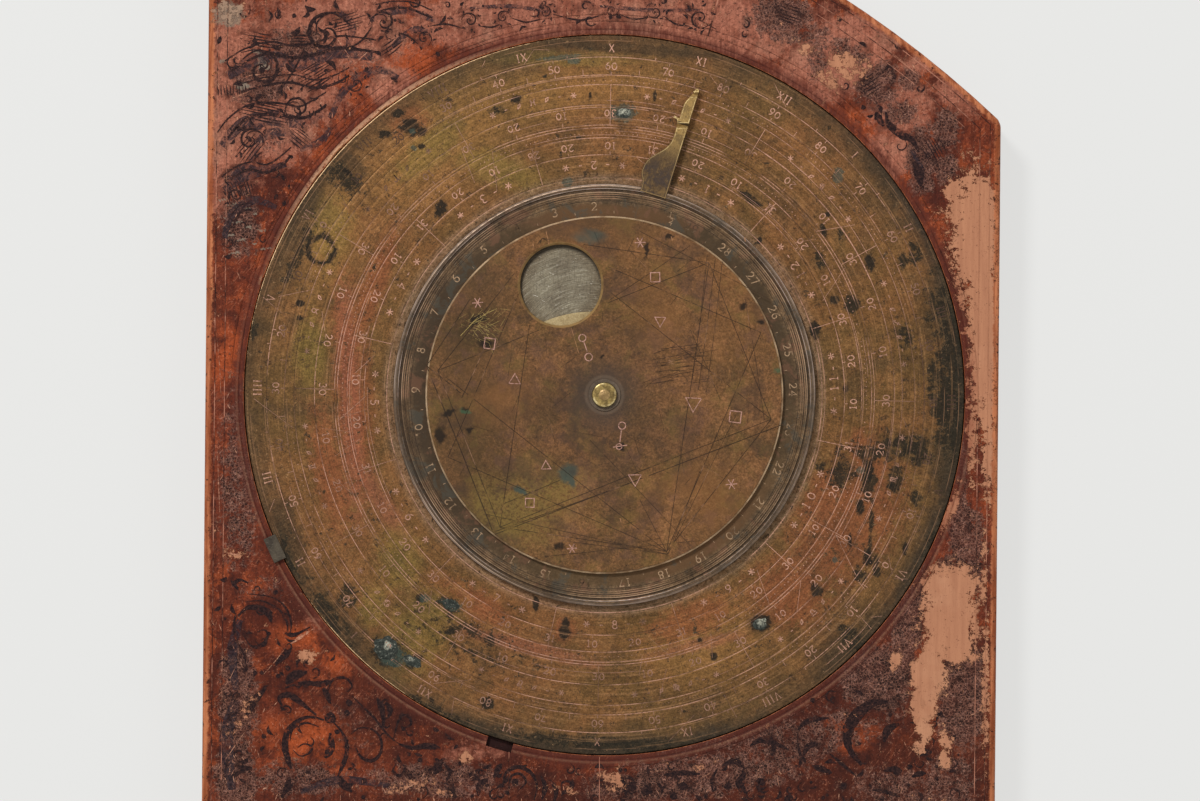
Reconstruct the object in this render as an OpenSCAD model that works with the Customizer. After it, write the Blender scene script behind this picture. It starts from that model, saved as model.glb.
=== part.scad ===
// Horary quadrant: a wooden board with a quarter-circle limb, and a brass dial let into its back.
// Lengths are millimetres. The board's front face lies on z = 0 and the dial looks up, along +Z.
// The origin is the dial's axis on the front face. +X runs to the right and +Y to the limb.
// Angles on the dial are degrees clockwise from +Y, seen from above.

/* [Board] */
// Thickness of the board
board_t = 12; // [9:0.5:18]
// Radius of the limb, from the apex that the plumb line hangs from
limb_r = 215; // [205:1:230]
// Distance of the apex from the left and the bottom edge
apex_inset = 11.5; // [8:0.5:14]
// Wood between the dial's recess and the left edge
rim_left = 7.6; // [6:0.1:12]
// Wood between the dial's recess and the right edge
rim_right = 6.6; // [5:0.1:12]
// Wood between the dial's recess and the bottom edge
rim_bottom = 40.5; // [34:0.5:46]
// Worn rounding along all edges of the board
edge_r = 1; // [0.4:0.1:1.4]
// Rounding of the two corners at the ends of the limb
limb_corner_r = 5; // [2.5:0.5:7]
// Rounding of the two corners on the bottom edge
foot_corner_r = 3; // [2:0.5:6]
// Distance that a rounded corner stands out past a smooth one, as a filed corner does
corner_stand = 0.1; // [0.06:0.02:0.3]

/* [Calendar plate] */
// Radius of the calendar plate
plate_r = 71.9; // [68:0.1:76]
// Thickness of the calendar plate
plate_t = 1.6; // [1.2:0.1:2.4]
// Height that the plate stands above the wood
plate_proud = 0.25; // [0.1:0.05:0.5]
// Gap between the plate and the wall of its recess
plate_gap = 0.4; // [0.2:0.05:0.8]
// Bevel around the plate's rim
plate_bevel = 0.3; // [0.1:0.05:0.5]
// Width of the band of hours
hour_band = 4.3; // [3.5:0.1:5]
// Width of the band of degrees
degree_band = 3.6; // [3:0.1:4.4]
// Width of the ring of degree points
degree_points = 1.9; // [1.2:0.1:2.4]
// Width of the band of signs
sign_band = 4.1; // [3.4:0.1:4.8]
// Width of the band that counts the degrees of the signs
sign_count_band = 4; // [3.2:0.1:4.6]
// Width of the narrow ring between the signs and the calendar
double_ring = 0.55; // [0.45:0.05:0.9]
// Width of the ring of day points
day_points = 2; // [1.4:0.1:2.6]
// Width of the band that counts the days
day_count_band = 3.4; // [2.8:0.1:4]
// Width of the band of months
month_band = 4.5; // [3.8:0.1:4.8]

/* [Engraving] */
// Width of an engraved circle
groove_w = 0.24; // [0.16:0.02:0.34]
// Depth of an engraved circle
groove_d = 0.12; // [0.06:0.02:0.2]

/* [Sun disc] */
// Radius of the sun disc
sun_r = 42.2; // [40:0.1:43]
// Thickness of the sun disc
sun_t = 1.5; // [1.3:0.1:2.2]
// Radius of the round bead along the sun disc's rim
bead_r = 0.5; // [0.3:0.05:0.6]
// Radius of the hollow beside the bead
hollow_r = 0.32; // [0.2:0.02:0.4]
// Distance from the rim to the first of the fine circles
fine_ring_in = 2.1; // [1.9:0.1:2.6]
// Distance between the fine circles
fine_ring_step = 0.42; // [0.36:0.02:0.6]
// Number of fine circles inside the hollow
fine_ring_n = 3; // [1:1:4]

/* [Pointer] */
// Direction of the pointer's straight reading edge
pointer_deg = 16.8; // [0:0.1:359]
// Gap between the pointer's tip and the circle under the band of degrees
pointer_short = 0.1; // [0:0.1:1.5]
// Thickness of the pointer's blade
pointer_t = 1.1; // [0.7:0.1:1.2]
// Width of the pointer where it leaves the disc
pointer_root_w = 5.3; // [4:0.1:6.5]
// Largest width of the pointer's shoulder
pointer_shoulder_w = 6.2; // [5:0.1:7]
// Distance from the disc's rim to the widest place of the shoulder
shoulder_run = 3; // [2:0.1:4]
// Distance from the disc's rim to the neck
neck_run = 11.3; // [8:0.1:12.5]
// Width of the pointer's neck
pointer_neck_w = 2.1; // [1.6:0.1:2.6]
// Distance from the disc's rim to the small thorn on the pointer's back
thorn_run = 15; // [13.5:0.1:15.5]
// Height of the thorn above the neck
thorn_h = 1.2; // [0.6:0.1:1.6]
// Length of the straight stretch behind the nose
nose_run = 2.6; // [1.5:0.1:3]
// Radius of the bead on the pointer's tip
tip_r = 0.4; // [0.25:0.05:0.6]
// Width of the notches filed across the blade
notch_w = 0.6; // [0.3:0.05:0.8]
// Length of the tail that is let into the disc
pointer_tail = 1.2; // [0.8:0.1:1.8]

/* [Moon phase inlay] */
// Radius of the pocket for the inlay
inlay_r = 33.2; // [32.8:0.1:34]
// Depth of the inlay
inlay_t = 0.5; // [0.3:0.05:0.7]
// Distance of the gilt disc's centre from the axis
gilt_shift = 8.1; // [7.6:0.1:8.2]
// Silver left outside the gilt disc where it is narrowest
gilt_rim = 0.7; // [0.5:0.1:1.1]

/* [Moon disc] */
// Radius of the moon disc
moon_r = 35.7; // [34.6:0.1:37]
// Thickness of the moon disc
moon_t = 1.2; // [0.9:0.1:1.8]
// Bevel around the moon disc and its window
moon_bevel = 0.4; // [0.2:0.05:0.6]
// Radius of the moon window
window_r = 8.1; // [7.4:0.1:8.6]
// Inlay that the moon disc hides outside the window
window_margin = 1.5; // [0.9:0.1:2.1]
// Direction of the window
window_deg = 337.8; // [0:0.1:359]

/* [Pivot] */
// Radius of the pivot where the discs turn
pivot_r = 1.6; // [1.3:0.05:2.2]
// Radius of the thin end that holds the collar
spigot_r = 1.1; // [0.7:0.05:1.15]
// Radius of the flange under the plate
flange_r = 4.5; // [3.5:0.1:6]
// Thickness of the flange under the plate
flange_t = 0.8; // [0.5:0.1:1.2]
// Radius of the washer under the collar
washer_r = 3.2; // [2.9:0.1:4]
// Thickness of the washer
washer_t = 0.15; // [0.1:0.05:0.4]
// Radius of the collar
collar_r = 2.55; // [2.4:0.05:3]
// Height of the collar
collar_h = 0.85; // [0.6:0.05:1.2]
// Rounding of the collar's upper edge
collar_edge_r = 0.45; // [0.2:0.05:0.55]
// Height of the hammered dome on the pivot's end
dome_h = 0.2; // [0.1:0.05:0.4]

/* [Plate clip] */
// Direction of the clip on the recess rim
clip_deg = 244.5; // [0:0.1:359]
// Direction of the notch whose clip is lost
lost_clip_deg = 196.2; // [0:0.1:359]
// Width of a clip along the rim
clip_w = 5.2; // [4:0.1:7]
// Length of the clip's toe beyond the plate's rim
clip_reach = 2.1; // [1.7:0.1:3]
// Length of the toe that lies on the plate
clip_lap = 0.5; // [0.35:0.05:1]
// Thickness of the clip's sheet
clip_t = 0.6; // [0.4:0.05:0.9]
// Depth of the clip's leg below the toe
clip_leg = 1.3; // [1:0.1:2]

/* [Plumb line bush] */
// Radius of the hole for the plumb line
line_r = 0.6; // [0.4:0.05:0.9]
// Outside radius of the bush
bush_r = 1.7; // [1.3:0.1:2.4]
// Radius of the bush's flange
bush_flange_r = 2.7; // [2.5:0.1:4]
// Thickness of the bush's flange
bush_flange_t = 0.4; // [0.2:0.05:0.6]

/* [Sights] */
// Distance of each sight's vane from the end of the bottom edge
sight_inset = 9; // [7:0.5:16]
// Length of a sight's foot along the edge
sight_foot = 10; // [8:0.5:14]
// Width of a sight across the board
sight_w = 8; // [6:0.5:8.5]
// Height of a vane below the edge
sight_h = 12; // [9.5:0.5:16]
// Thickness of the vane and the foot
sight_t = 1.2; // [0.8:0.1:1.6]
// Radius of the pinholes
pinhole_r = 0.5; // [0.3:0.05:0.9]
// Distance of the pinhole from the board's edge
pinhole_drop = 8; // [5.5:0.1:9]
// Radius of the sight pins
pin_r = 0.6; // [0.4:0.05:0.9]
// Length of a sight pin in the wood
pin_l = 7; // [5:0.5:10]
// Radius of a pin's head
pin_head_r = 1.1; // [1:0.05:1.5]
// Height of a pin's head
pin_head_h = 0.5; // [0.3:0.05:0.8]

/* [Clearances] */
// Gap between faces that turn on each other
turn_gap = 0.1; // [0.05:0.01:0.2]
// Radial clearance of the discs on the pivot
run_fit = 0.05; // [0.02:0.01:0.09]
// Radial clearance of pieces that are fixed in each other
seat_gap = 0.03; // [0.02:0.01:0.05]
// Loose clearance around pieces that lie in a pocket
pocket_gap = 0.3; // [0.2:0.05:0.5]

/* [Hidden] */

$fn = 96;
through = 1;

// Edges of the board, seen from the axis
recess_r = plate_r + plate_gap;
left_x = -(recess_r + rim_left);
right_x = recess_r + rim_right;
bottom_y = -(recess_r + rim_bottom);
apex = [left_x + apex_inset, bottom_y + apex_inset];
board_span = 2 * limb_r;

// Levels, from the recess up
plate_top = board_t + plate_proud;
plate_z = plate_top - plate_t;
sun_z = plate_top + turn_gap;
sun_top = sun_z + sun_t;
moon_z = sun_top + turn_gap;
moon_top = moon_z + moon_t;
shoulder_z = moon_top + turn_gap;
collar_z = shoulder_z + washer_t;
collar_top = collar_z + collar_h;

// Widths of the plate's bands, from the rim inwards
plate_bands = [
    hour_band, degree_band, degree_points, sign_band, sign_count_band,
    double_ring, day_points, day_count_band, month_band,
];
plate_rings = [
    for (i = 0, r = plate_r - plate_bands[0]; i < len(plate_bands); i = i + 1,
        r = r - (i < len(plate_bands) ? plate_bands[i] : 0)) r
];
pointer_root = sun_r - pointer_tail;
pointer_reach = plate_rings[1] - pointer_short;
sun_rings = [for (i = [0:fine_ring_n - 1]) sun_r - fine_ring_in - i * fine_ring_step];

// The gilt disc shows least of itself when the window stands over the pointer
gilt_deg = pointer_deg + 180;
gilt_r = inlay_r - gilt_shift - gilt_rim;
gilt_at = dial_point(gilt_shift, gilt_deg);
window_at = dial_point(inlay_r - window_margin - window_r, window_deg);

// The sights stand on the bottom edge, in the middle of the board's thickness
vane_x = [left_x + sight_inset, right_x - sight_inset];
sight_z = board_t / 2;
foot_bottom = bottom_y - sight_t;
pin_steps = [0.4, 0.8];

// Point on the dial at a distance and a direction
function dial_point(r, deg) = [r * sin(deg), r * cos(deg)];

// Cubic curve through two ends, drawn towards two handles
function curve(a, b, c, d, n) = [
    for (i = [0:n]) let (t = i / n, s = 1 - t)
        a * s * s * s + b * 3 * s * s * t + c * 3 * s * t * t + d * t * t * t
];

// Rectangle with all four corners rounded
module rounded_slab(w, h, r) {
    translate([r, 0]) square([w - 2 * r, h]);
    translate([0, r]) square([w, h - 2 * r]);
    for (x = [r, w - r], y = [r, h - r]) translate([x, y]) circle(r);
}

// Round plate whose rim is rounded above and below
module rounded_puck(r, h, e) {
    rotate_extrude() intersection() {
        translate([-r, 0]) rounded_slab(2 * r, h, e);
        square([r, h]);
    }
}

// Half profile of a disc with a bevel on its upper rim
module bevelled_half(r, h, bevel) {
    polygon([[0, 0], [r, 0], [r, h - bevel], [r - bevel, h], [0, h]]);
}

// Half profiles of the engraved circles, cut down from height h
module circle_cuts(rings, h) {
    for (r = rings) {
        polygon([
            [r - groove_w / 2, h], [r - groove_w / 2, h + through],
            [r + groove_w / 2, h + through], [r + groove_w / 2, h], [r, h - groove_d],
        ]);
    }
}

// What is cut away outside a rounded corner of the board
module corner_waste(centre, r, way_a, way_b) {
    far = 3 * r;
    difference() {
        translate([0, 0, -through]) linear_extrude(board_t + 2 * through) polygon([
            centre, centre + far * way_a, centre + far * (way_a + way_b), centre + far * way_b,
        ]);
        translate(centre + corner_stand * (way_a + way_b)) rounded_puck(r, board_t, edge_r);
    }
}

// Centre of a corner that touches the limb and an upright edge at x
function limb_corner(x, side) =
    let (cx = x - side * limb_corner_r, reach = limb_r - limb_corner_r)
    [cx, apex[1] + sqrt(reach * reach - (cx - apex[0]) * (cx - apex[0]))];

module limb_corner_waste(x, side) {
    centre = limb_corner(x, side);
    away = centre - apex;
    corner_waste(centre, limb_corner_r, [side, 0], away / norm(away));
}

module foot_corner_waste(x, side) {
    corner_waste([x - side * foot_corner_r, bottom_y + foot_corner_r], foot_corner_r, [side, 0], [0, -1]);
}

// Board outline: two slabs with rounded edges, met by the disc of the limb
module board_blank() {
    intersection() {
        translate([left_x, board_span / 2, 0]) rotate([90, 0, 0])
            linear_extrude(board_span) rounded_slab(right_x - left_x, board_t, edge_r);
        translate([-board_span / 2, bottom_y, 0]) rotate([90, 0, 90])
            linear_extrude(board_span) rounded_slab(board_span, board_t, edge_r);
        translate(apex) rounded_puck(limb_r, board_t, edge_r);
    }
}

// Pocket for a clip, in the wall of the recess
module clip_notch(deg) {
    depth = clip_leg - plate_proud;
    rotate([0, 0, -deg]) translate([-clip_w / 2 - seat_gap, plate_r - clip_lap, board_t - depth])
        cube([clip_w + 2 * seat_gap, clip_lap + clip_reach + seat_gap, depth + through]);
}

// Places one sight's pin, from the board's edge into the wood
module at_pins(x, side) {
    for (step = pin_steps) {
        translate([x + side * step * sight_foot, bottom_y, sight_z]) rotate([-90, 0, 0]) children();
    }
}

module quadrant_board() {
    color([0.55, 0.26, 0.17]) difference() {
        board_blank();
        limb_corner_waste(left_x, -1);
        limb_corner_waste(right_x, 1);
        foot_corner_waste(left_x, -1);
        foot_corner_waste(right_x, 1);
        translate([0, 0, plate_z]) cylinder(r = recess_r, h = plate_t + through, $fn = 180);
        translate([0, 0, plate_z - flange_t - pocket_gap])
            cylinder(r = flange_r + pocket_gap, h = flange_t + 2 * pocket_gap);
        clip_notch(clip_deg);
        clip_notch(lost_clip_deg);
        translate([apex[0], apex[1], -through]) cylinder(r = bush_r + seat_gap, h = board_t + 2 * through);
        for (i = [0, 1]) {
            at_pins(vane_x[i], 1 - 2 * i) translate([0, 0, -through])
                cylinder(r = pin_r + seat_gap, h = pin_l + pocket_gap + through);
        }
    }
}

module calendar_plate() {
    color([0.48, 0.36, 0.18]) translate([0, 0, plate_z]) rotate_extrude($fn = 180) difference() {
        bevelled_half(plate_r, plate_t, plate_bevel);
        circle_cuts(plate_rings, plate_t);
        translate([0, -through]) square([pivot_r + seat_gap, plate_t + 2 * through]);
    }
}

// Bent tab: its toe lies on the plate and its leg is driven into the notch
module plate_clip() {
    color([0.55, 0.55, 0.54]) rotate([0, 0, -clip_deg]) translate([-clip_w / 2, plate_r - clip_lap, plate_top]) {
        cube([clip_w, clip_lap + clip_reach, clip_t]);
        translate([0, clip_lap + clip_reach - clip_t, -clip_leg]) cube([clip_w, clip_t, clip_leg + clip_t]);
    }
}

// Half profile of the sun disc: bead and hollow at the rim, fine circles, and the inlay's pocket
module sun_half() {
    bead_at = sun_r - bead_r;
    difference() {
        union() {
            square([bead_at, sun_t]);
            square([sun_r, sun_t - bead_r]);
            translate([bead_at, sun_t - bead_r]) circle(bead_r);
        }
        translate([bead_at - bead_r - hollow_r, sun_t]) circle(hollow_r);
        circle_cuts(sun_rings, sun_t);
        translate([0, sun_t - inlay_t]) square([inlay_r, inlay_t + through]);
        translate([0, -through]) square([pivot_r + run_fit, sun_t + 2 * through]);
    }
}

// Turns a plan onto the disc: x runs outwards along the reading edge, y to the pointer's back
module on_pointer() {
    rotate([0, 0, 90 - pointer_deg]) children();
}

// Smooth step from one point to the next, level at both ends
function level_curve(a, b, n) =
    let (handle = [(b[0] - a[0]) / 2, 0]) curve(a, a + handle, b - handle, b, n);

// Plan of the pointer: root, shoulder, neck, thorn and nose along its back
module pointer_plan() {
    shoulder = [sun_r + shoulder_run, pointer_shoulder_w];
    neck = [sun_r + neck_run, pointer_neck_w];
    thorn = [sun_r + thorn_run, pointer_neck_w + thorn_h];
    thorn_foot = [thorn[0], pointer_neck_w];
    nose = thorn_foot + [nose_run, 0];
    tip = [pointer_reach - tip_r, tip_r];
    polygon(concat(
        [[pointer_root, 0], [pointer_root, pointer_root_w]],
        level_curve([sun_r, pointer_root_w], shoulder, 6),
        level_curve(shoulder, neck, 10),
        curve(neck, (neck + thorn_foot) / 2, thorn_foot, thorn, 6),
        [thorn_foot],
        curve(nose, nose + [nose_run / 2, 0], (nose + tip) / 2, tip + [0, tip_r], 6),
        [for (deg = [20:20:180]) tip + dial_point(tip_r, deg)]
    ));
}

// Notch across the blade, square to the dial's upright line
module blade_notch(at) {
    translate([at, pointer_neck_w / 2, sun_top]) rotate([0, 0, pointer_deg]) rotate([0, 45, 0])
        cube([notch_w, 3 * pointer_neck_w, notch_w], center = true);
}

// The blade lies level with the disc's top, and is thinner than the disc
module sun_pointer() {
    color([0.62, 0.48, 0.22]) on_pointer() difference() {
        translate([0, 0, sun_top - pointer_t]) linear_extrude(pointer_t) pointer_plan();
        blade_notch(sun_r + thorn_run - thorn_h);
        blade_notch(pointer_reach - 2 * tip_r - notch_w);
    }
}

module sun_disc() {
    color([0.42, 0.35, 0.24]) difference() {
        translate([0, 0, sun_z]) rotate_extrude($fn = 180) sun_half();
        on_pointer() translate([pointer_root - seat_gap, -seat_gap, sun_top - pointer_t])
            cube([pointer_tail + seat_gap + through, pointer_root_w + 2 * seat_gap, pointer_t + through]);
    }
}

// Silver ground of the moon-phase inlay, open where the gilt disc lies
module phase_silver() {
    color([0.68, 0.68, 0.66]) translate([0, 0, sun_top - inlay_t]) difference() {
        cylinder(r = inlay_r - seat_gap, h = inlay_t);
        translate([gilt_at[0], gilt_at[1], -through]) cylinder(r = gilt_r, h = inlay_t + 2 * through);
    }
}

module phase_gilt() {
    color([0.80, 0.66, 0.36]) translate([0, 0, sun_top - inlay_t]) difference() {
        translate(gilt_at) cylinder(r = gilt_r - seat_gap, h = inlay_t);
        translate([0, 0, -through]) cylinder(r = pivot_r + run_fit, h = inlay_t + 2 * through);
    }
}

module moon_disc() {
    color([0.47, 0.31, 0.19]) translate([0, 0, moon_z]) difference() {
        rotate_extrude($fn = 180) bevelled_half(moon_r, moon_t, moon_bevel);
        translate([0, 0, -through]) cylinder(r = pivot_r + run_fit, h = moon_t + 2 * through);
        translate([window_at[0], window_at[1], 0]) {
            translate([0, 0, -through]) cylinder(r = window_r, h = moon_t + 2 * through);
            translate([0, 0, moon_t - moon_bevel])
                cylinder(r1 = window_r, r2 = window_r + 2 * moon_bevel, h = 2 * moon_bevel);
        }
    }
}

// Cap of a ball that has radius r and height h at its foot
module dome(r, h) {
    ball = (r * r + h * h) / (2 * h);
    intersection() {
        translate([0, 0, h - ball]) sphere(ball);
        cylinder(r = r, h = h + through);
    }
}

// The pivot is riveted up through the plate, and its shoulder keeps the collar off the discs
module pivot_arbor() {
    color([0.70, 0.50, 0.28]) {
        translate([0, 0, plate_z - flange_t]) cylinder(r = flange_r, h = flange_t);
        translate([0, 0, plate_z]) cylinder(r = pivot_r, h = shoulder_z - plate_z);
        translate([0, 0, shoulder_z]) cylinder(r = spigot_r, h = collar_top - shoulder_z);
        translate([0, 0, collar_top]) dome(spigot_r, dome_h);
    }
}

module pivot_washer() {
    color([0.52, 0.50, 0.50]) translate([0, 0, shoulder_z]) difference() {
        cylinder(r = washer_r, h = washer_t);
        translate([0, 0, -through]) cylinder(r = spigot_r + seat_gap, h = washer_t + 2 * through);
    }
}

// Collar with a rounded upper rim
module pivot_collar() {
    edge = min(collar_edge_r, collar_h / 2);
    color([0.78, 0.66, 0.34]) translate([0, 0, collar_z]) rotate_extrude() difference() {
        union() {
            square([collar_r - edge, collar_h]);
            square([collar_r, collar_h - edge]);
            translate([collar_r - edge, collar_h - edge]) circle(edge);
        }
        translate([-collar_r, -through]) square([collar_r + spigot_r + seat_gap, collar_h + 2 * through]);
    }
}

module plumb_bush() {
    color([0.72, 0.58, 0.30]) translate([apex[0], apex[1], 0]) difference() {
        union() {
            cylinder(r = bush_r, h = board_t + bush_flange_t);
            translate([0, 0, board_t]) cylinder(r = bush_flange_r, h = bush_flange_t);
        }
        translate([0, 0, -through]) cylinder(r = line_r, h = board_t + bush_flange_t + 2 * through);
    }
}

// Plan of a vane: a tongue with waisted sides and a round end
module vane_plan() {
    half = sight_w / 2;
    difference() {
        union() {
            translate([-half, 0]) square([sight_w, sight_h - half]);
            translate([0, sight_h - half]) circle(half);
        }
        for (side = [-1, 1]) {
            translate([side * 1.18 * half, 0.42 * (sight_h - half) + sight_t]) circle(0.34 * half);
        }
        translate([0, pinhole_drop]) circle(pinhole_r);
    }
}

// Angle piece: the foot lies on the board's edge, the vane stands up from its outer end
module sight(x, side) {
    color([0.66, 0.52, 0.27]) difference() {
        union() {
            translate([min(x, x + side * sight_foot), foot_bottom, sight_z - sight_w / 2])
                cube([sight_foot, sight_t, sight_w]);
            translate([side > 0 ? x : x - sight_t, bottom_y, sight_z]) rotate([0, 90, 0]) rotate([0, 0, 180])
                linear_extrude(sight_t) vane_plan();
        }
        at_pins(x, side) translate([0, 0, -sight_t - through])
            cylinder(r = pin_r + seat_gap, h = sight_t + 2 * through);
    }
}

module sight_pins(x, side) {
    color([0.74, 0.60, 0.32]) at_pins(x, side) {
        translate([0, 0, -sight_t]) cylinder(r = pin_r, h = sight_t + pin_l);
        translate([0, 0, -sight_t]) mirror([0, 0, 1]) dome(pin_head_r, pin_head_h);
    }
}

module eye_sight() sight(vane_x[0], 1);
module far_sight() sight(vane_x[1], -1);
module eye_sight_pins() sight_pins(vane_x[0], 1);
module far_sight_pins() sight_pins(vane_x[1], -1);

quadrant_board();
calendar_plate();
plate_clip();
sun_disc();
sun_pointer();
phase_silver();
phase_gilt();
moon_disc();
pivot_arbor();
pivot_washer();
pivot_collar();
plumb_bush();
eye_sight();
far_sight();
eye_sight_pins();
far_sight_pins();
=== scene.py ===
import math
import random

import bmesh
import bpy
import numpy as np
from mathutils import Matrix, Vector, kdtree, noise


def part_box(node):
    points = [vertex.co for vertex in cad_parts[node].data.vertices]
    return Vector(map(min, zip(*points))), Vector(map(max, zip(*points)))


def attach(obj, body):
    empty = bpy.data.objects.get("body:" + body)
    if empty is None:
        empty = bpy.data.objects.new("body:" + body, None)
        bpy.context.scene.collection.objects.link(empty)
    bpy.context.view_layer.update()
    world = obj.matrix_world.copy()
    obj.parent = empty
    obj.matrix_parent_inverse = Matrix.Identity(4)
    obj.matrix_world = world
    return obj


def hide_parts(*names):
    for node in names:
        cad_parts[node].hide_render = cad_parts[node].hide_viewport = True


# Frame: everything below is in millimetres on the object until a mesh is made
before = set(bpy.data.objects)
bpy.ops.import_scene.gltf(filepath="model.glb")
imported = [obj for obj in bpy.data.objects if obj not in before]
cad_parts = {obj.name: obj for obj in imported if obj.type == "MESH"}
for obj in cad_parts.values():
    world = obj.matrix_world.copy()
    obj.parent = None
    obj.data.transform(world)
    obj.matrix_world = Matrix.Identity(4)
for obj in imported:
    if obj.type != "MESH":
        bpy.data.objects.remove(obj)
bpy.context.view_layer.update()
MM = 0.001
PX = 0.2
AXIS_PX = (604.4, 394.9)
PICTURE = (1200, 801)
TURN = 0.5
CAMERA_UP = 1000.0
SENSOR = 36.0
SCREEN_WHITE = (230, 230, 228)

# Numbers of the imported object: apex of the quadrant, limb about it, plate's edge, middle of the window
APEX = (-68.4, -101.3)
LIMB_R = 215
PLATE_R = 71.9
WINDOW = (-8.92, 21.85, 0)

rng = random.Random(7)


def top_of(node):
    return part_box(node)[1].z / MM


def at(px, py):
    """Place on the object of a point in the 1200 x 801 picture."""
    x = (px - AXIS_PX[0]) * PX
    y = (AXIS_PX[1] - py) * PX
    c, s = math.cos(math.radians(TURN)), math.sin(math.radians(TURN))
    return (x * c - y * s, x * s + y * c)


def dial(r, deg):
    """Place on the dial at a radius and a direction, clockwise from the picture's upright."""
    a = math.radians(deg - TURN)
    return (r * math.sin(a), r * math.cos(a))


def hue(r, g, b):
    """A colour written as on a screen, 0 to 255, in the renderer's own scale."""
    scaled = [v / 255 for v in (r, g, b)]
    return tuple(v / 12.92 if v <= 0.04045 else ((v + 0.055) / 1.055) ** 2.4 for v in scaled) + (1.0,)


# Levels of the top faces, and the camera
PLATE_TOP = top_of("calendar_plate")
SUN_TOP = top_of("sun_disc")
MOON_TOP = top_of("moon_disc")
BOARD_TOP = top_of("quadrant_board")

scene = bpy.context.scene
scene.view_settings.view_transform = "Standard"
camera_data = bpy.data.cameras.new("camera")
camera = bpy.data.objects.new("camera", camera_data)
scene.collection.objects.link(camera)
scene.camera = camera
middle = at(PICTURE[0] / 2, PICTURE[1] / 2)
camera.location = (middle[0] * MM, middle[1] * MM, (PLATE_TOP + CAMERA_UP) * MM)
camera.rotation_euler = (0, 0, math.radians(TURN))
camera_data.sensor_width = SENSOR
camera_data.lens = SENSOR * CAMERA_UP / (PICTURE[0] * PX)
camera_data.clip_start = 0.05
camera_data.clip_end = 20


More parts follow.
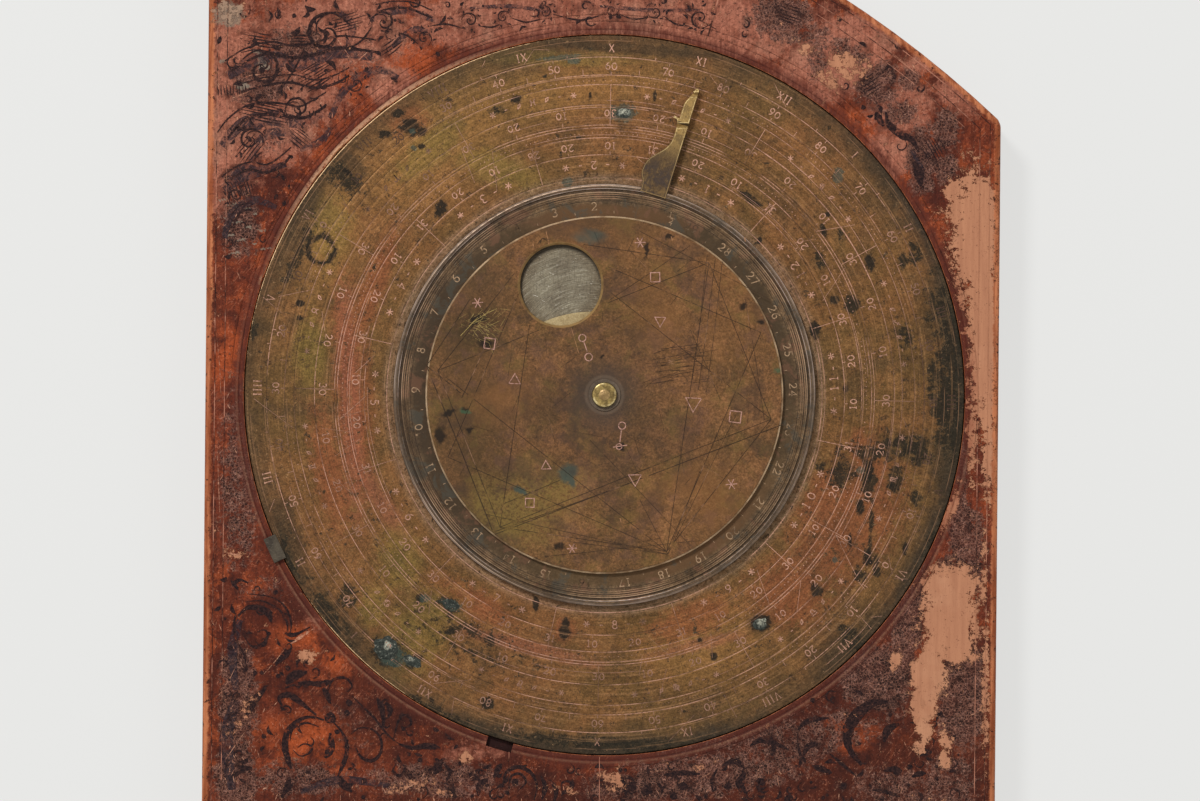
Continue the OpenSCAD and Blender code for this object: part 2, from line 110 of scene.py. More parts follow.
# Materials
class Paint:
    """Builds one procedural material with short calls."""

    def __init__(self, name):
        self.mat = bpy.data.materials.new(name)
        self.mat.use_nodes = True
        self.tree = self.mat.node_tree
        self.tree.nodes.clear()
        self.out = self.add("ShaderNodeOutputMaterial")
        self.bsdf = self.add("ShaderNodeBsdfPrincipled")
        self.tree.links.new(self.bsdf.outputs[0], self.out.inputs[0])
        self.mm = self.vec("SCALE", self.add("ShaderNodeTexCoord").outputs["Object"], scale=1 / MM)
        self.flat = self.vec("MULTIPLY", self.mm, (1, 1, 0))

    def add(self, kind, **settings):
        node = self.tree.nodes.new(kind)
        for key, value in settings.items():
            setattr(node, key, value)
        return node

    def put(self, socket, value):
        if isinstance(value, bpy.types.NodeSocket):
            self.tree.links.new(value, socket)
        elif value is not None:
            socket.default_value = value

    def vec(self, op, a, b=None, scale=None):
        node = self.add("ShaderNodeVectorMath", operation=op)
        self.put(node.inputs[0], a)
        self.put(node.inputs[1], b)
        self.put(node.inputs[3], scale)
        return node.outputs["Value" if op in ("LENGTH", "DISTANCE", "DOT_PRODUCT") else "Vector"]

    def math(self, op, a, b=None, c=None, clamp=False):
        node = self.add("ShaderNodeMath", operation=op, use_clamp=clamp)
        for i, value in enumerate((a, b, c)):
            if value is not None:
                self.put(node.inputs[i], value)
        return node.outputs[0]

    def noise(self, size, detail=3, rough=0.55, vec=None, bend=0.0, out=0):
        """Noise whose largest features are about size millimetres across."""
        node = self.add("ShaderNodeTexNoise")
        self.put(node.inputs["Vector"], vec if vec else self.mm)
        node.inputs["Scale"].default_value = 1 / size
        self.put(node.inputs["Detail"], detail)
        self.put(node.inputs["Roughness"], rough)
        self.put(node.inputs["Distortion"], bend)
        return node.outputs[out]

    def cells(self, size, feature="DISTANCE_TO_EDGE", vec=None):
        node = self.add("ShaderNodeTexVoronoi", feature=feature)
        self.put(node.inputs["Vector"], vec if vec else self.mm)
        self.put(node.inputs["Scale"], 1 / size)
        return node.outputs["Distance"]

    def step(self, value, low, high, start=0.0, end=1.0):
        """Smooth step from start at low to end at high."""
        node = self.add("ShaderNodeMapRange", interpolation_type="SMOOTHSTEP")
        for i, v in enumerate((value, low, high, start, end)):
            self.put(node.inputs[i], v)
        return node.outputs[0]

    def mix(self, fac, a, b):
        """Colour a where fac is 0 and b where it is 1; a colour may be three screen values."""
        node = self.add("ShaderNodeMix", data_type="RGBA")
        self.put(node.inputs[0], fac)
        for place, tone in ((6, a), (7, b)):
            self.put(node.inputs[place], hue(*tone) if isinstance(tone, tuple) else tone)
        return node.outputs[2]

    def tint(self, colour, tone, *masks):
        """Lays a tone over a colour, where all the masks let it."""
        return self.mix(self.all(*masks), colour, tone)

    def all(self, *masks):
        """Product of several masks."""
        total = masks[0]
        for mask in masks[1:]:
            total = self.math("MULTIPLY", total, mask)
        return total

    def any(self, *masks):
        """Largest of several masks."""
        total = masks[0]
        for mask in masks[1:]:
            total = self.math("MAXIMUM", total, mask)
        return total

    def less(self, mask, cut):
        return self.math("MULTIPLY", mask, self.math("SUBTRACT", 1.0, cut))

    def radius(self):
        return self.vec("LENGTH", self.flat)

    def ragged(self, size, reach):
        """The flat place, pushed about by noise so that what uses it gets a ragged outline."""
        push = self.vec("SUBTRACT", self.noise(size, 4, 0.65, out=1), (0.5, 0.5, 0.5))
        moved = self.vec("ADD", self.flat, self.vec("SCALE", push, scale=reach))
        return self.vec("MULTIPLY", moved, (1, 1, 0))

    def spots(self, rows, vec=None, soft=0.35):
        """Spots placed in the picture: x, y, half width, half height, and a turn in degrees if any."""
        total = None
        for x, y, rx, ry, *turn in rows:
            node = self.add("ShaderNodeMapping", vector_type="TEXTURE")
            self.put(node.inputs["Vector"], vec if vec else self.flat)
            node.inputs["Location"].default_value = (*at(x, y), 0)
            node.inputs["Rotation"].default_value = (0, 0, -math.radians(sum(turn)))
            node.inputs["Scale"].default_value = (rx * PX, ry * PX, 1)
            spot = self.step(self.vec("LENGTH", node.outputs[0]), 1 + soft, 1 - soft)
            total = self.any(total, spot) if total else spot
        return total

    def circles(self, radii, half, soft=0.05):
        """Mask of thin circles about the axis."""
        r = self.radius()
        total = None
        for ring in radii:
            off = self.math("ABSOLUTE", self.math("SUBTRACT", r, ring))
            line = self.step(off, half + soft, half - soft)
            total = self.any(total, line) if total else line
        return total

    def streaks(self, across, along):
        """Noise drawn out round the axis, as the scratches of a polished disc."""
        way = self.vec("NORMALIZE", self.flat)
        turned = self.vec("SCALE", way, scale=1 / along)
        node = self.add("ShaderNodeCombineXYZ")
        self.put(node.inputs[2], self.math("DIVIDE", self.radius(), across))
        return self.noise(1, 3, 0.6, vec=self.vec("ADD", turned, node.outputs[0]))

    def drawn(self, across, along, deg=0.0, detail=3, rough=0.6):
        """Noise drawn out along a direction, deg clockwise from +Y; sizes in millimetres."""
        node = self.add("ShaderNodeMapping", vector_type="TEXTURE")
        self.put(node.inputs["Vector"], self.mm)
        node.inputs["Rotation"].default_value = (0, 0, math.radians(-deg))
        node.inputs["Scale"].default_value = (across, along, across)
        return self.noise(1, detail, rough, vec=node.outputs[0])

    def grit(self, colour, value, amount):
        """Darkens and lightens a colour by a noise value, up to amount either way."""
        share = self.step(value, 0.34, 0.66, 1 - amount, 1 + amount)
        return self.vec("SCALE", colour, scale=share)

    def attribute(self, name):
        return self.add("ShaderNodeAttribute", attribute_name=name).outputs["Fac"]

    def field(self, name, level, width=0.06, coarse=1.6, fine=0.8):
        """Mask of a field painted into the mesh, with an edge broken up by noise."""
        if not hasattr(self, "flake"):
            self.flake = self.math("SUBTRACT", self.noise(2.4, 8, 0.78, bend=0.3), 0.5)
            self.grain = self.math("SUBTRACT", self.noise(0.8, 5, 0.8), 0.5)
        edge = self.math("MULTIPLY_ADD", self.flake, coarse, self.attribute(name))
        return self.step(self.math("MULTIPLY_ADD", self.grain, fine, edge), level - width, level + width)

    def bump(self, height, strength, depth):
        node = self.add("ShaderNodeBump")
        self.put(node.inputs["Height"], height)
        node.inputs["Strength"].default_value = strength
        node.inputs["Distance"].default_value = depth * MM
        self.put(self.bsdf.inputs["Normal"], node.outputs[0])

    def finish(self, colour, rough, metal=0.0, shine=0.5):
        self.put(self.bsdf.inputs["Base Color"], colour)
        self.put(self.bsdf.inputs["Roughness"], rough)
        self.put(self.bsdf.inputs["Metallic"], metal)
        self.bsdf.inputs["Specular IOR Level"].default_value = shine
        return self.mat


# Wood: red varnish over pale wood, darkened and crackled in places
def wood_colour(p):
    grain = p.drawn(1.1, 15, 0, 5)
    pores = p.drawn(0.32, 2.6, 0)
    hatch = p.drawn(0.3, 3.2, 38)
    cloud = p.noise(15, 4, 0.6)
    blotch = p.noise(4.5, 6, 0.7, bend=0.6)
    speck = p.noise(0.8, 5, 0.8)
    dust = p.noise(0.42, 3, 0.8)
    flake = p.noise(2.4, 8, 0.78, bend=0.3)
    r = p.radius()

    def ragged(name, level, coarse, fine, width=0.04):
        """Mask of a painted field, with an edge broken up by noise."""
        edge = p.math("MULTIPLY_ADD", p.math("SUBTRACT", flake, 0.5), coarse, p.attribute(name))
        edge = p.math("MULTIPLY_ADD", p.math("SUBTRACT", speck, 0.5), fine, edge)
        return p.step(edge, level - width, level + width)

    varnish = p.mix(p.step(cloud, 0.36, 0.64), (80, 36, 25), (114, 52, 32))
    varnish = p.tint(varnish, (62, 28, 21), p.step(grain, 0.54, 0.34), 0.5)
    varnish = p.tint(varnish, (148, 70, 38), p.step(blotch, 0.52, 0.62), 0.6)
    varnish = p.tint(varnish, (60, 29, 24), p.step(blotch, 0.47, 0.36), 0.6)
    ruddy = p.ragged(6, 9)
    below = p.spots([(370, 715, 60, 40), (860, 780, 170, 60), (600, 800, 260, 26)], ruddy, 0.7)
    maroon = p.all(p.step(r, 80, 74), p.spots([(420, 660, 190, 190), (820, 720, 240, 130)], ruddy, 0.6), 0.72)
    maroon = p.any(maroon, p.all(below, 0.75))
    varnish = p.tint(varnish, (62, 31, 24), maroon)
    flame = p.spots([
        (405, 60, 30, 46, 40), (370, 130, 22, 60, 45), (880, 150, 22, 44, -30), (300, 640, 30, 14),
        (224, 356, 12, 34), (850, 735, 24, 12), (305, 745, 40, 26), (330, 655, 26, 16, 40),
    ], ruddy, 0.7)
    varnish = p.tint(varnish, (160, 74, 38), flame, p.step(blotch, 0.3, 0.55), 0.75)

    rubbed = ragged("rubbed", 0.42, 1.5, 0.7, 0.2)
    figured = p.math("MULTIPLY_ADD", grain, 0.35, blotch)
    salmon = p.mix(p.step(figured, 0.54, 0.8), (130, 74, 56), (172, 110, 88))
    salmon = p.tint(salmon, (98, 50, 38), p.step(blotch, 0.52, 0.62), 0.55)
    salmon = p.tint(salmon, (150, 112, 92), p.step(cloud, 0.52, 0.66), 0.4)
    varnish = p.tint(varnish, salmon, rubbed, 0.92)
    varnish = p.tint(varnish, (46, 24, 21), p.step(speck, 0.54, 0.62), 0.75)
    varnish = p.tint(varnish, (178, 122, 96), p.step(dust, 0.6, 0.66), p.step(blotch, 0.42, 0.56), 0.5)
    varnish = p.tint(varnish, (176, 112, 84), p.step(hatch, 0.6, 0.68), p.step(cloud, 0.44, 0.56), 0.4)
    varnish = p.grit(p.grit(varnish, pores, 0.13), dust, 0.2)

    dark = ragged("dark", 0.45, 1.9, 0.9, 0.14)
    worm = p.math("ABSOLUTE", p.math("SUBTRACT", p.noise(0.9, 3, 0.6), 0.5))
    crack = p.cells(0.62, vec=p.vec("ADD", p.mm, p.vec("SCALE", p.noise(0.8, 3, 0.7, out=1), scale=0.7)))
    soot = p.mix(p.step(blotch, 0.42, 0.6), (36, 24, 22), (66, 39, 33))
    soot = p.tint(soot, (136, 92, 75), p.step(crack, 0.1, 0.03), p.step(flake, 0.34, 0.5), 0.72)
    soot = p.tint(soot, (134, 96, 84), p.step(worm, 0.05, 0.012), p.step(flake, 0.42, 0.56), 0.45)
    soot = p.tint(soot, (158, 118, 102), p.step(dust, 0.57, 0.64), p.step(flake, 0.42, 0.6), 0.7)
    soot = p.grit(soot, dust, 0.3)
    colour = p.mix(p.all(dark, 0.93), varnish, soot)
    smudge = p.all(p.attribute("smudge"), p.step(p.math("MULTIPLY_ADD", speck, 0.5, blotch), 0.86, 0.58), 0.7)
    colour = p.tint(colour, (40, 24, 22), smudge)

    bare = ragged("bare", 0.5, 3.2, 1.8, 0.04)
    pale = p.mix(p.step(grain, 0.3, 0.7), (180, 125, 94), (166, 113, 85))
    pale = p.tint(pale, (192, 140, 108), p.step(cloud, 0.5, 0.7), 0.5)
    pale = p.tint(pale, (132, 82, 60), p.step(pores, 0.58, 0.7), 0.14)
    pale = p.tint(pale, (88, 46, 38), p.step(p.noise(1.3, 7, 0.85), 0.6, 0.65), 0.7)
    pale = p.tint(pale, (112, 66, 50), p.step(dust, 0.63, 0.69), 0.5)
    colour = p.tint(colour, pale, bare)

    brim = p.all(
        p.step(p.math("MULTIPLY_ADD", blotch, 3.0, r), 76.6, 74.6),
        p.step(p.drawn(0.5, 3, 0), 0.36, 0.6, 0.4, 0.85),
    )
    colour = p.tint(colour, p.mix(bare, (84, 41, 32), (142, 84, 62)), brim)
    worn = ragged("edge", 0.62, 0.8, 0.6, 0.12)
    colour = p.tint(colour, p.mix(p.step(grain, 0.35, 0.65), (140, 74, 44), (196, 122, 82)), worn, 0.85)
    nick = p.all(ragged("edge", 0.5, 0.4, 0.4, 0.1), p.step(p.noise(1.5, 5, 0.75), 0.58, 0.63))
    colour = p.tint(colour, (48, 26, 21), nick, 0.9)

    grey = ragged("grey", 0.34, 0.9, 0.7, 0.08)
    colour = p.tint(colour, (134, 124, 108), grey, 0.62)
    # Darkens the turned grooves with dirt and painted shade, and paints shade into the recess wall and floor
    # and into the notches
    colour = p.tint(colour, (40, 22, 20), p.attribute("groove"), p.step(flake, 0.4, 0.56, 0.35, 0.85))
    # Pale lip round the recess edge: bare wood, with a painted highlight that is strongest at the upper left,
    # facing the key light
    bare_lip_and_highlight = p.all(p.attribute("bare_lip_and_highlight"), p.step(speck, 0.36, 0.52))
    colour = p.tint(colour, (212, 166, 130), bare_lip_and_highlight, 0.9)
    height = p.math("MULTIPLY_ADD", pores, 0.4, p.math("MULTIPLY", p.less(speck, bare), 0.8))
    height = p.math("MULTIPLY_ADD", bare, -0.9, height)
    return colour, bare, height


def wood_material():
    p = Paint("aged_wood")
    colour, bare, height = wood_colour(p)
    p.bump(height, 0.8, 0.2)
    return p.finish(colour, p.step(bare, 0, 1, 0.5, 0.75), shine=0.06)


def ink_material():
    """Drawing ink that has sunk into the varnish, and is rubbed off in places."""
    p = Paint("rubbed_ink")
    colour, bare, height = wood_colour(p)
    worn = p.any(p.step(p.noise(1.8, 7, 0.8), 0.54, 0.62), p.all(bare, 0.95))
    ink = p.mix(p.step(p.noise(0.5, 4, 0.7), 0.4, 0.62), (28, 20, 22), (56, 37, 34))
    p.bump(height, 0.7, 0.16)
    return p.finish(p.mix(p.any(p.all(worn, 0.64), p.all(bare, 0.9)), ink, colour), 0.6, shine=0.05)


def wash_material():
    """Broad thin strokes, dark and mottled, that let the wood through."""
    p = Paint("thin_wash")
    colour, bare, height = wood_colour(p)
    woven = p.any(p.step(p.drawn(0.28, 4, 42), 0.56, 0.64), p.step(p.drawn(0.28, 4, -42), 0.58, 0.66))
    worn = p.any(p.step(p.noise(2.6, 8, 0.82, bend=0.3), 0.45, 0.58), p.all(woven, 0.75), p.all(bare, 0.95))
    ink = p.mix(p.step(p.noise(0.6, 4, 0.7), 0.4, 0.62), (30, 25, 30), (56, 45, 48))
    p.bump(height, 0.7, 0.16)
    return p.finish(p.mix(p.step(worn, 0, 1, 0.08, 0.68), ink, colour), 0.6, shine=0.05)


def front_material():
    """Pale filled lines of the front face, worn away in places."""
    p = Paint("front_line")
    colour = wood_colour(p)[0]
    pale = p.mix(p.step(p.noise(1.6, 5, 0.7), 0.4, 0.6), (190, 146, 112), (222, 186, 148))
    return p.finish(p.mix(p.step(p.noise(3.4, 6, 0.75), 0.36, 0.5, 0.2, 0.9), colour, pale), 0.6, shine=0.05)


def scribe_material():
    """Scribed line: dark where it holds dirt, pale where the wood shows."""
    p = Paint("scribed_line")
    colour, bare = wood_colour(p)[:2]
    way = p.step(p.noise(9, 4, 0.7), 0.42, 0.56)
    line = p.mix(p.less(way, bare), p.mix(bare, (172, 116, 94), (128, 82, 62)), (44, 27, 24))
    kept = p.less(p.step(p.noise(3, 5, 0.7), 0.36, 0.52, 0.25, 0.9), p.all(bare, 0.6))
    return p.finish(p.mix(kept, colour, line), 0.6, shine=0.05)


def scratch_material():
    p = Paint("bare_scratch")
    colour = wood_colour(p)[0]
    pale = p.mix(p.step(p.noise(0.5, 4, 0.7), 0.4, 0.6), (140, 88, 68), (196, 146, 118))
    return p.finish(p.mix(p.step(p.noise(1.2, 5, 0.7), 0.42, 0.54, 0.1, 0.8), colour, pale), 0.7, shine=0.05)


# Brass: the patina of the calendar plate
# Radii of the circles ruled on the plate
PLATE_RINGS = [67.6, 64.0, 62.1, 58.0, 54.0, 53.45, 51.45, 48.05, 43.55]


def plate_colour(p):
    r = p.radius()
    cloud = p.noise(24, 4, 0.6)
    blotch = p.noise(6, 6, 0.68, bend=0.5)
    fine = p.noise(0.7, 4, 0.75)
    dust = p.noise(0.34, 3, 0.75)
    streak = p.streaks(0.4, 0.3)
    hair = p.streaks(0.15, 0.1)

    colour = p.mix(p.step(cloud, 0.36, 0.64), (118, 79, 47), (102, 75, 43))
    colour = p.tint(colour, (80, 58, 34), p.step(blotch, 0.5, 0.68), 0.6)
    colour = p.tint(colour, (136, 95, 57), p.step(blotch, 0.46, 0.32), 0.5)
    smoky = p.step(p.noise(11, 6, 0.7, bend=0.4), 0.5, 0.64)
    colour = p.tint(colour, (74, 57, 40), smoky, 0.5)
    colour = p.tint(colour, (142, 103, 56), p.field("gold", 0.5, 0.5, 2.4, 0.6), 0.45)
    small = p.noise(2.2, 6, 0.75, bend=0.4)
    colour = p.tint(colour, (78, 60, 38), p.step(small, 0.53, 0.62), 0.36)
    colour = p.tint(colour, (146, 106, 66), p.step(small, 0.46, 0.38), 0.3)
    colour = p.tint(colour, (136, 74, 48), p.field("red", 0.5, 0.5, 3.4, 0.8), 0.55)
    colour = p.tint(colour, (146, 84, 66), p.field("rose", 0.5, 0.5, 3.0, 0.8), 0.4)
    colour = p.tint(colour, (120, 104, 50), p.field("lime", 0.5, 0.5, 3.2, 0.8), 0.42)
    # Painted light: the plate is lightened in a ring just outside the sun disc, where the disc's shadow falls
    painted_light_ring = p.step(r, 45.2, 43.0)
    colour = p.tint(colour, (146, 124, 104), painted_light_ring, p.step(fine, 0.3, 0.6, 0.1, 0.32))
    rim = p.step(p.math("MULTIPLY_ADD", blotch, 9.0, r), 67.5, 77)
    colour = p.tint(colour, (72, 57, 39), rim, 0.5)
    slate = p.all(p.step(p.math("MULTIPLY_ADD", blotch, 6.0, r), 70.5, 75), p.attribute("slate"))
    colour = p.tint(colour, (44, 41, 36), slate, 0.85)
    colour = p.tint(colour, (56, 46, 34), p.field("east", 0.66, 0.34, 2.2, 1.0), 0.62)
    soot = p.field("soot", 0.6, 0.07, 5.0, 2.4)
    colour = p.tint(colour, (68, 57, 40), p.field("soot", 0.42, 0.26, 3.6, 1.0), 0.5)
    colour = p.tint(colour, (36, 33, 26), soot, 0.9)
    drops = p.field("drops", 0.55, 0.08, 2.6, 1.8)
    colour = p.tint(colour, (74, 56, 38), p.field("drops", 0.3, 0.25, 2.0, 1.0), 0.45)
    colour = p.tint(colour, (33, 30, 25), drops, 0.92)
    colour = p.tint(colour, (60, 72, 64), p.field("green", 0.55, 0.14, 2.2, 1.8), 0.7)
    colour = p.tint(colour, (180, 134, 92), p.step(streak, 0.56, 0.66), 0.18)
    colour = p.tint(colour, (56, 41, 27), p.step(streak, 0.44, 0.36), 0.25)
    colour = p.tint(colour, (58, 42, 27), p.step(hair, 0.57, 0.65), 0.25)
    colour = p.tint(colour, (38, 30, 23), p.step(p.noise(1.1, 6, 0.85), 0.595, 0.63), 0.75)
    colour = p.tint(colour, (44, 34, 26), p.step(p.noise(0.5, 4, 0.8), 0.61, 0.65), 0.6)
    colour = p.tint(colour, (176, 136, 96), p.step(p.noise(0.8, 5, 0.85), 0.61, 0.65), 0.4)
    for deg in (22, 74, 128):
        colour = p.tint(colour, (48, 37, 27), p.step(p.drawn(0.16, 5, deg), 0.64, 0.69), 0.45)
    colour = p.grit(p.grit(colour, fine, 0.24), dust, 0.26)
    return colour, p.any(soot, drops, p.all(rim, 0.6)), fine, hair


def fill_mask(p, keep=0.5):
    """Where the pale filling of the engraving is still there."""
    return p.all(
        p.step(p.noise(7, 4, 0.6), keep - 0.12, keep + 0.1),
        p.step(p.noise(0.5, 3, 0.75), 0.38, 0.52, 0.35, 1),
    )


FILLING = (204, 154, 130)
DIRT = (38, 29, 24)


def plate_material():
    p = Paint("plate_patina")
    colour, dirt, fine, hair = plate_colour(p)
    rings = p.circles(PLATE_RINGS, 0.06, 0.05)
    double = p.circles([PLATE_RINGS[0] + 0.42, 63.55, 54.5, 48.5, 44.0, 42.9, 70.9], 0.05, 0.05)
    colour = p.tint(colour, DIRT, rings, 0.6)
    colour = p.tint(colour, FILLING, rings, fill_mask(p, 0.47), p.less(0.85, p.attribute("grimy")))
    colour = p.tint(colour, (170, 126, 94), double, p.step(p.noise(11, 3, 0.6), 0.46, 0.58), 0.45)
    # Painted highlight along the plate's edge, on its upper left and lower left
    colour = p.tint(colour, (224, 184, 140), p.field("rim_light", 0.5, 0.1, 0.9, 1.1))
    p.bump(p.math("ADD", p.math("MULTIPLY", fine, 0.6), hair), 0.35, 0.06)
    return p.finish(colour, p.step(dirt, 0, 1, 0.5, 0.7), p.step(dirt, 0, 1, 0.3, 0.05), 0.08)


def plate_marks_material():
    p = Paint("plate_engraving")
    colour = plate_colour(p)[0]
    dim = p.spots([(600, 690, 230, 90), (480, 640, 110, 70, 30), (350, 520, 50, 120, -20)], None, 0.8)
    kept = p.less(fill_mask(p, 0.38), p.any(p.all(p.attribute("grimy"), 0.9), p.all(dim, 0.5)))
    colour = p.tint(colour, DIRT, p.step(p.attribute("grimy"), 0, 1, 0.62, 0.85))
    return p.finish(p.mix(p.all(kept, 0.82), colour, FILLING), 0.65, 0.05, 0.08)


# Brass: the two discs
def disc_colour(p, base, dark, light, deep):
    cloud = p.noise(13, 5, 0.6, bend=0.4)
    blotch = p.noise(4.2, 6, 0.72, bend=0.3)
    fine = p.noise(0.6, 4, 0.75)
    dust = p.noise(0.32, 3, 0.75)
    hair = p.streaks(0.14, 0.12)
    colour = p.mix(p.step(cloud, 0.36, 0.62), base, dark)
    colour = p.tint(colour, light, p.step(blotch, 0.5, 0.64), 0.6)
    colour = p.tint(colour, deep, p.step(blotch, 0.47, 0.36), 0.6)
    colour = p.tint(colour, (36, 27, 22), p.step(p.noise(0.9, 6, 0.85), 0.6, 0.645), 0.8)
    colour = p.tint(colour, (46, 34, 26), p.step(p.drawn(0.16, 3.5, 24), 0.62, 0.68), 0.4)
    colour = p.tint(colour, light, p.step(p.drawn(0.16, 3.5, 112), 0.63, 0.69), 0.4)
    colour = p.tint(colour, light, p.step(hair, 0.56, 0.64), 0.3)
    small = p.noise(1.7, 6, 0.78, bend=0.3)
    colour = p.tint(colour, deep, p.step(small, 0.53, 0.63), 0.36)
    colour = p.tint(colour, light, p.step(small, 0.46, 0.37), 0.32)
    colour = p.grit(p.grit(colour, fine, 0.24), dust, 0.26)
    return colour, cloud, blotch, fine, hair


def sun_colour(p):
    colour, cloud, _, fine, hair = disc_colour(
        p, (96, 75, 53), (82, 66, 49), (128, 102, 74), (50, 41, 31))
    r = p.radius()
    inner = p.step(p.math("MULTIPLY_ADD", cloud, 1.6, r), 39.6, 38.4)
    colour = p.tint(colour, (82, 64, 42), inner, 0.6)
    west = p.spots([(430, 380, 120, 240), (760, 300, 60, 200, -30)], None, 0.8)
    colour = p.tint(colour, (54, 45, 36), inner, west, 0.55)
    brown = p.spots([(600, 215, 120, 14), (700, 540, 80, 40, -30)], None, 0.7)
    colour = p.tint(colour, (96, 68, 46), inner, brown, 0.6)
    left = p.spots([(420, 380, 90, 260)], None, 0.9)
    colour = p.tint(colour, (56, 45, 37), left, 0.4)
    patch = p.noise(5.5, 5, 0.7, bend=0.5)
    colour = p.tint(colour, (108, 76, 58), p.step(patch, 0.54, 0.63), 0.55)
    colour = p.tint(colour, (70, 68, 60), p.step(patch, 0.46, 0.38), 0.6)
    slate = p.spots([
        (442, 288, 10, 22, 12), (428, 334, 8, 20), (470, 246, 16, 10, -40), (452, 470, 12, 26, -30),
    ], patch, 0.8)
    colour = p.tint(colour, (62, 66, 62), slate, 0.7)
    return colour, fine, hair


def sun_material():
    p = Paint("sun_disc_patina")
    colour, fine, hair = sun_colour(p)
    r = p.radius()
    fade = p.step(p.noise(11, 5, 0.65), 0.38, 0.62, 0.12, 0.95)
    colour = p.tint(colour, (40, 31, 27), p.circles([40.9, 41.3, 38.75, 39.9], 0.06), 0.75)
    colour = p.tint(colour, (192, 158, 128), p.circles([40.1, 39.68, 39.26, 40.5], 0.05, 0.05), fade)
    # Painted highlights on the rim moulding: the crest of the bead, the pale line at 42.02 on the outer
    # bevel, and glints at the upper left and lower left
    bead_highlight = p.step(p.math("ABSOLUTE", p.math("SUBTRACT", r, 41.72)), 0.3, 0.08)
    glint = p.spots([(520, 190, 160, 60, -30), (440, 560, 80, 60, 40)], None, 0.6)
    colour = p.tint(colour, (142, 124, 110), bead_highlight, p.step(p.noise(5, 4), 0.4, 0.6, 0.15, 0.5))
    colour = p.tint(colour, (56, 45, 38), p.circles([41.62, 40.74], 0.09, 0.05), 0.7)
    colour = p.tint(colour, (196, 174, 160), p.circles([42.02, 41.2], 0.07, 0.05), fade, 0.8)
    colour = p.tint(colour, (206, 176, 150), p.circles([41.78], 0.07, 0.05), glint, 0.7)
    p.bump(p.math("ADD", p.math("MULTIPLY", fine, 0.6), hair), 0.3, 0.06)
    return p.finish(colour, 0.5, 0.3, 0.08)


def moon_colour(p):
    colour, cloud, blotch, fine, hair = disc_colour(
        p, (114, 79, 50), (94, 69, 43), (138, 96, 62), (74, 56, 40))
    ragged = p.ragged(4, 6)
    crisp = p.ragged(2, 2.6)
    small = p.noise(1.2, 5, 0.75)
    smoky = p.step(p.noise(9, 5, 0.65), 0.46, 0.62)
    west = p.spots([(470, 440, 36, 120), (470, 330, 34, 50, 20), (560, 216, 90, 16, 8)], ragged, 0.7)
    colour = p.tint(colour, (68, 53, 36), west, p.step(blotch, 0.3, 0.58), 0.7)
    olive = p.step(p.noise(8, 5, 0.7), 0.5, 0.64)
    colour = p.tint(colour, (104, 86, 46), olive, 0.4)
    mauve = p.step(p.noise(7.4, 5, 0.7), 0.48, 0.36)
    colour = p.tint(colour, (98, 70, 60), mauve, 0.35)
    brass = p.spots([(520, 510, 56, 34, -20), (496, 510, 28, 30), (555, 490, 36, 18, -30)], ragged, 0.7)
    colour = p.tint(colour, (124, 103, 54), brass, p.step(fine, 0.3, 0.6), 0.6)
    blue = p.spots([(568, 473, 9, 9), (572, 480, 4, 8), (520, 490, 8, 3, 20), (590, 237, 16, 7)], crisp, 0.4)
    colour = p.tint(colour, (58, 72, 66), blue, 0.85)
    smoke = p.spots([
        (604, 385, 60, 46), (585, 425, 60, 40, 20), (540, 400, 46, 30), (640, 430, 50, 30),
        (560, 216, 60, 14, 8), (480, 260, 30, 30),
    ], ragged, 0.9)
    colour = p.tint(colour, (62, 49, 41), p.any(smoke, p.all(smoky, 0.6)), p.step(smoky, 0, 1, 0.4, 1), 0.8)
    halo = p.step(p.math("MULTIPLY_ADD", cloud, 6.0, p.radius()), 12.5, 5.5)
    colour = p.tint(colour, (66, 57, 50), halo, 0.72)
    scuffed = p.spots([(476, 326, 24, 20)], ragged, 0.7)
    colour = p.tint(colour, (58, 45, 31), scuffed, p.step(small, 0.62, 0.45), 0.75)
    rust = p.spots([
        (700, 300, 60, 60), (600, 240, 60, 20), (700, 500, 50, 40), (500, 390, 30, 30),
    ], ragged, 0.8)
    colour = p.tint(colour, (138, 92, 54), rust, p.step(cloud, 0.4, 0.6), 0.4)
    dark = p.spots([
        (450, 413, 7, 3, -20), (440, 435, 5, 9), (470, 430, 4, 3), (436, 470, 4, 11), (486, 344, 8, 5),
        (466, 410, 4, 3), (670, 238, 4, 3), (478, 320, 8, 3, -30), (622, 446, 4, 4), (560, 546, 6, 4),
        (602, 357, 2, 2), (741, 307, 4, 3), (761, 322, 3, 3), (646, 250, 2, 9), (533, 560, 6, 3),
    ], crisp, 0.4)
    colour = p.tint(colour, (34, 29, 25), dark, 0.9)
    verd = p.spots([(778, 371, 3, 3), (466, 411, 6, 2, 10)], crisp, 0.4)
    colour = p.tint(colour, (66, 86, 62), verd, 0.7)
    worn = p.step(p.math("ABSOLUTE", p.math("SUBTRACT", p.radius(), 3.6)), 0.6, 0.1)
    colour = p.tint(colour, (124, 108, 92), worn, 0.22)
    return colour, fine, hair


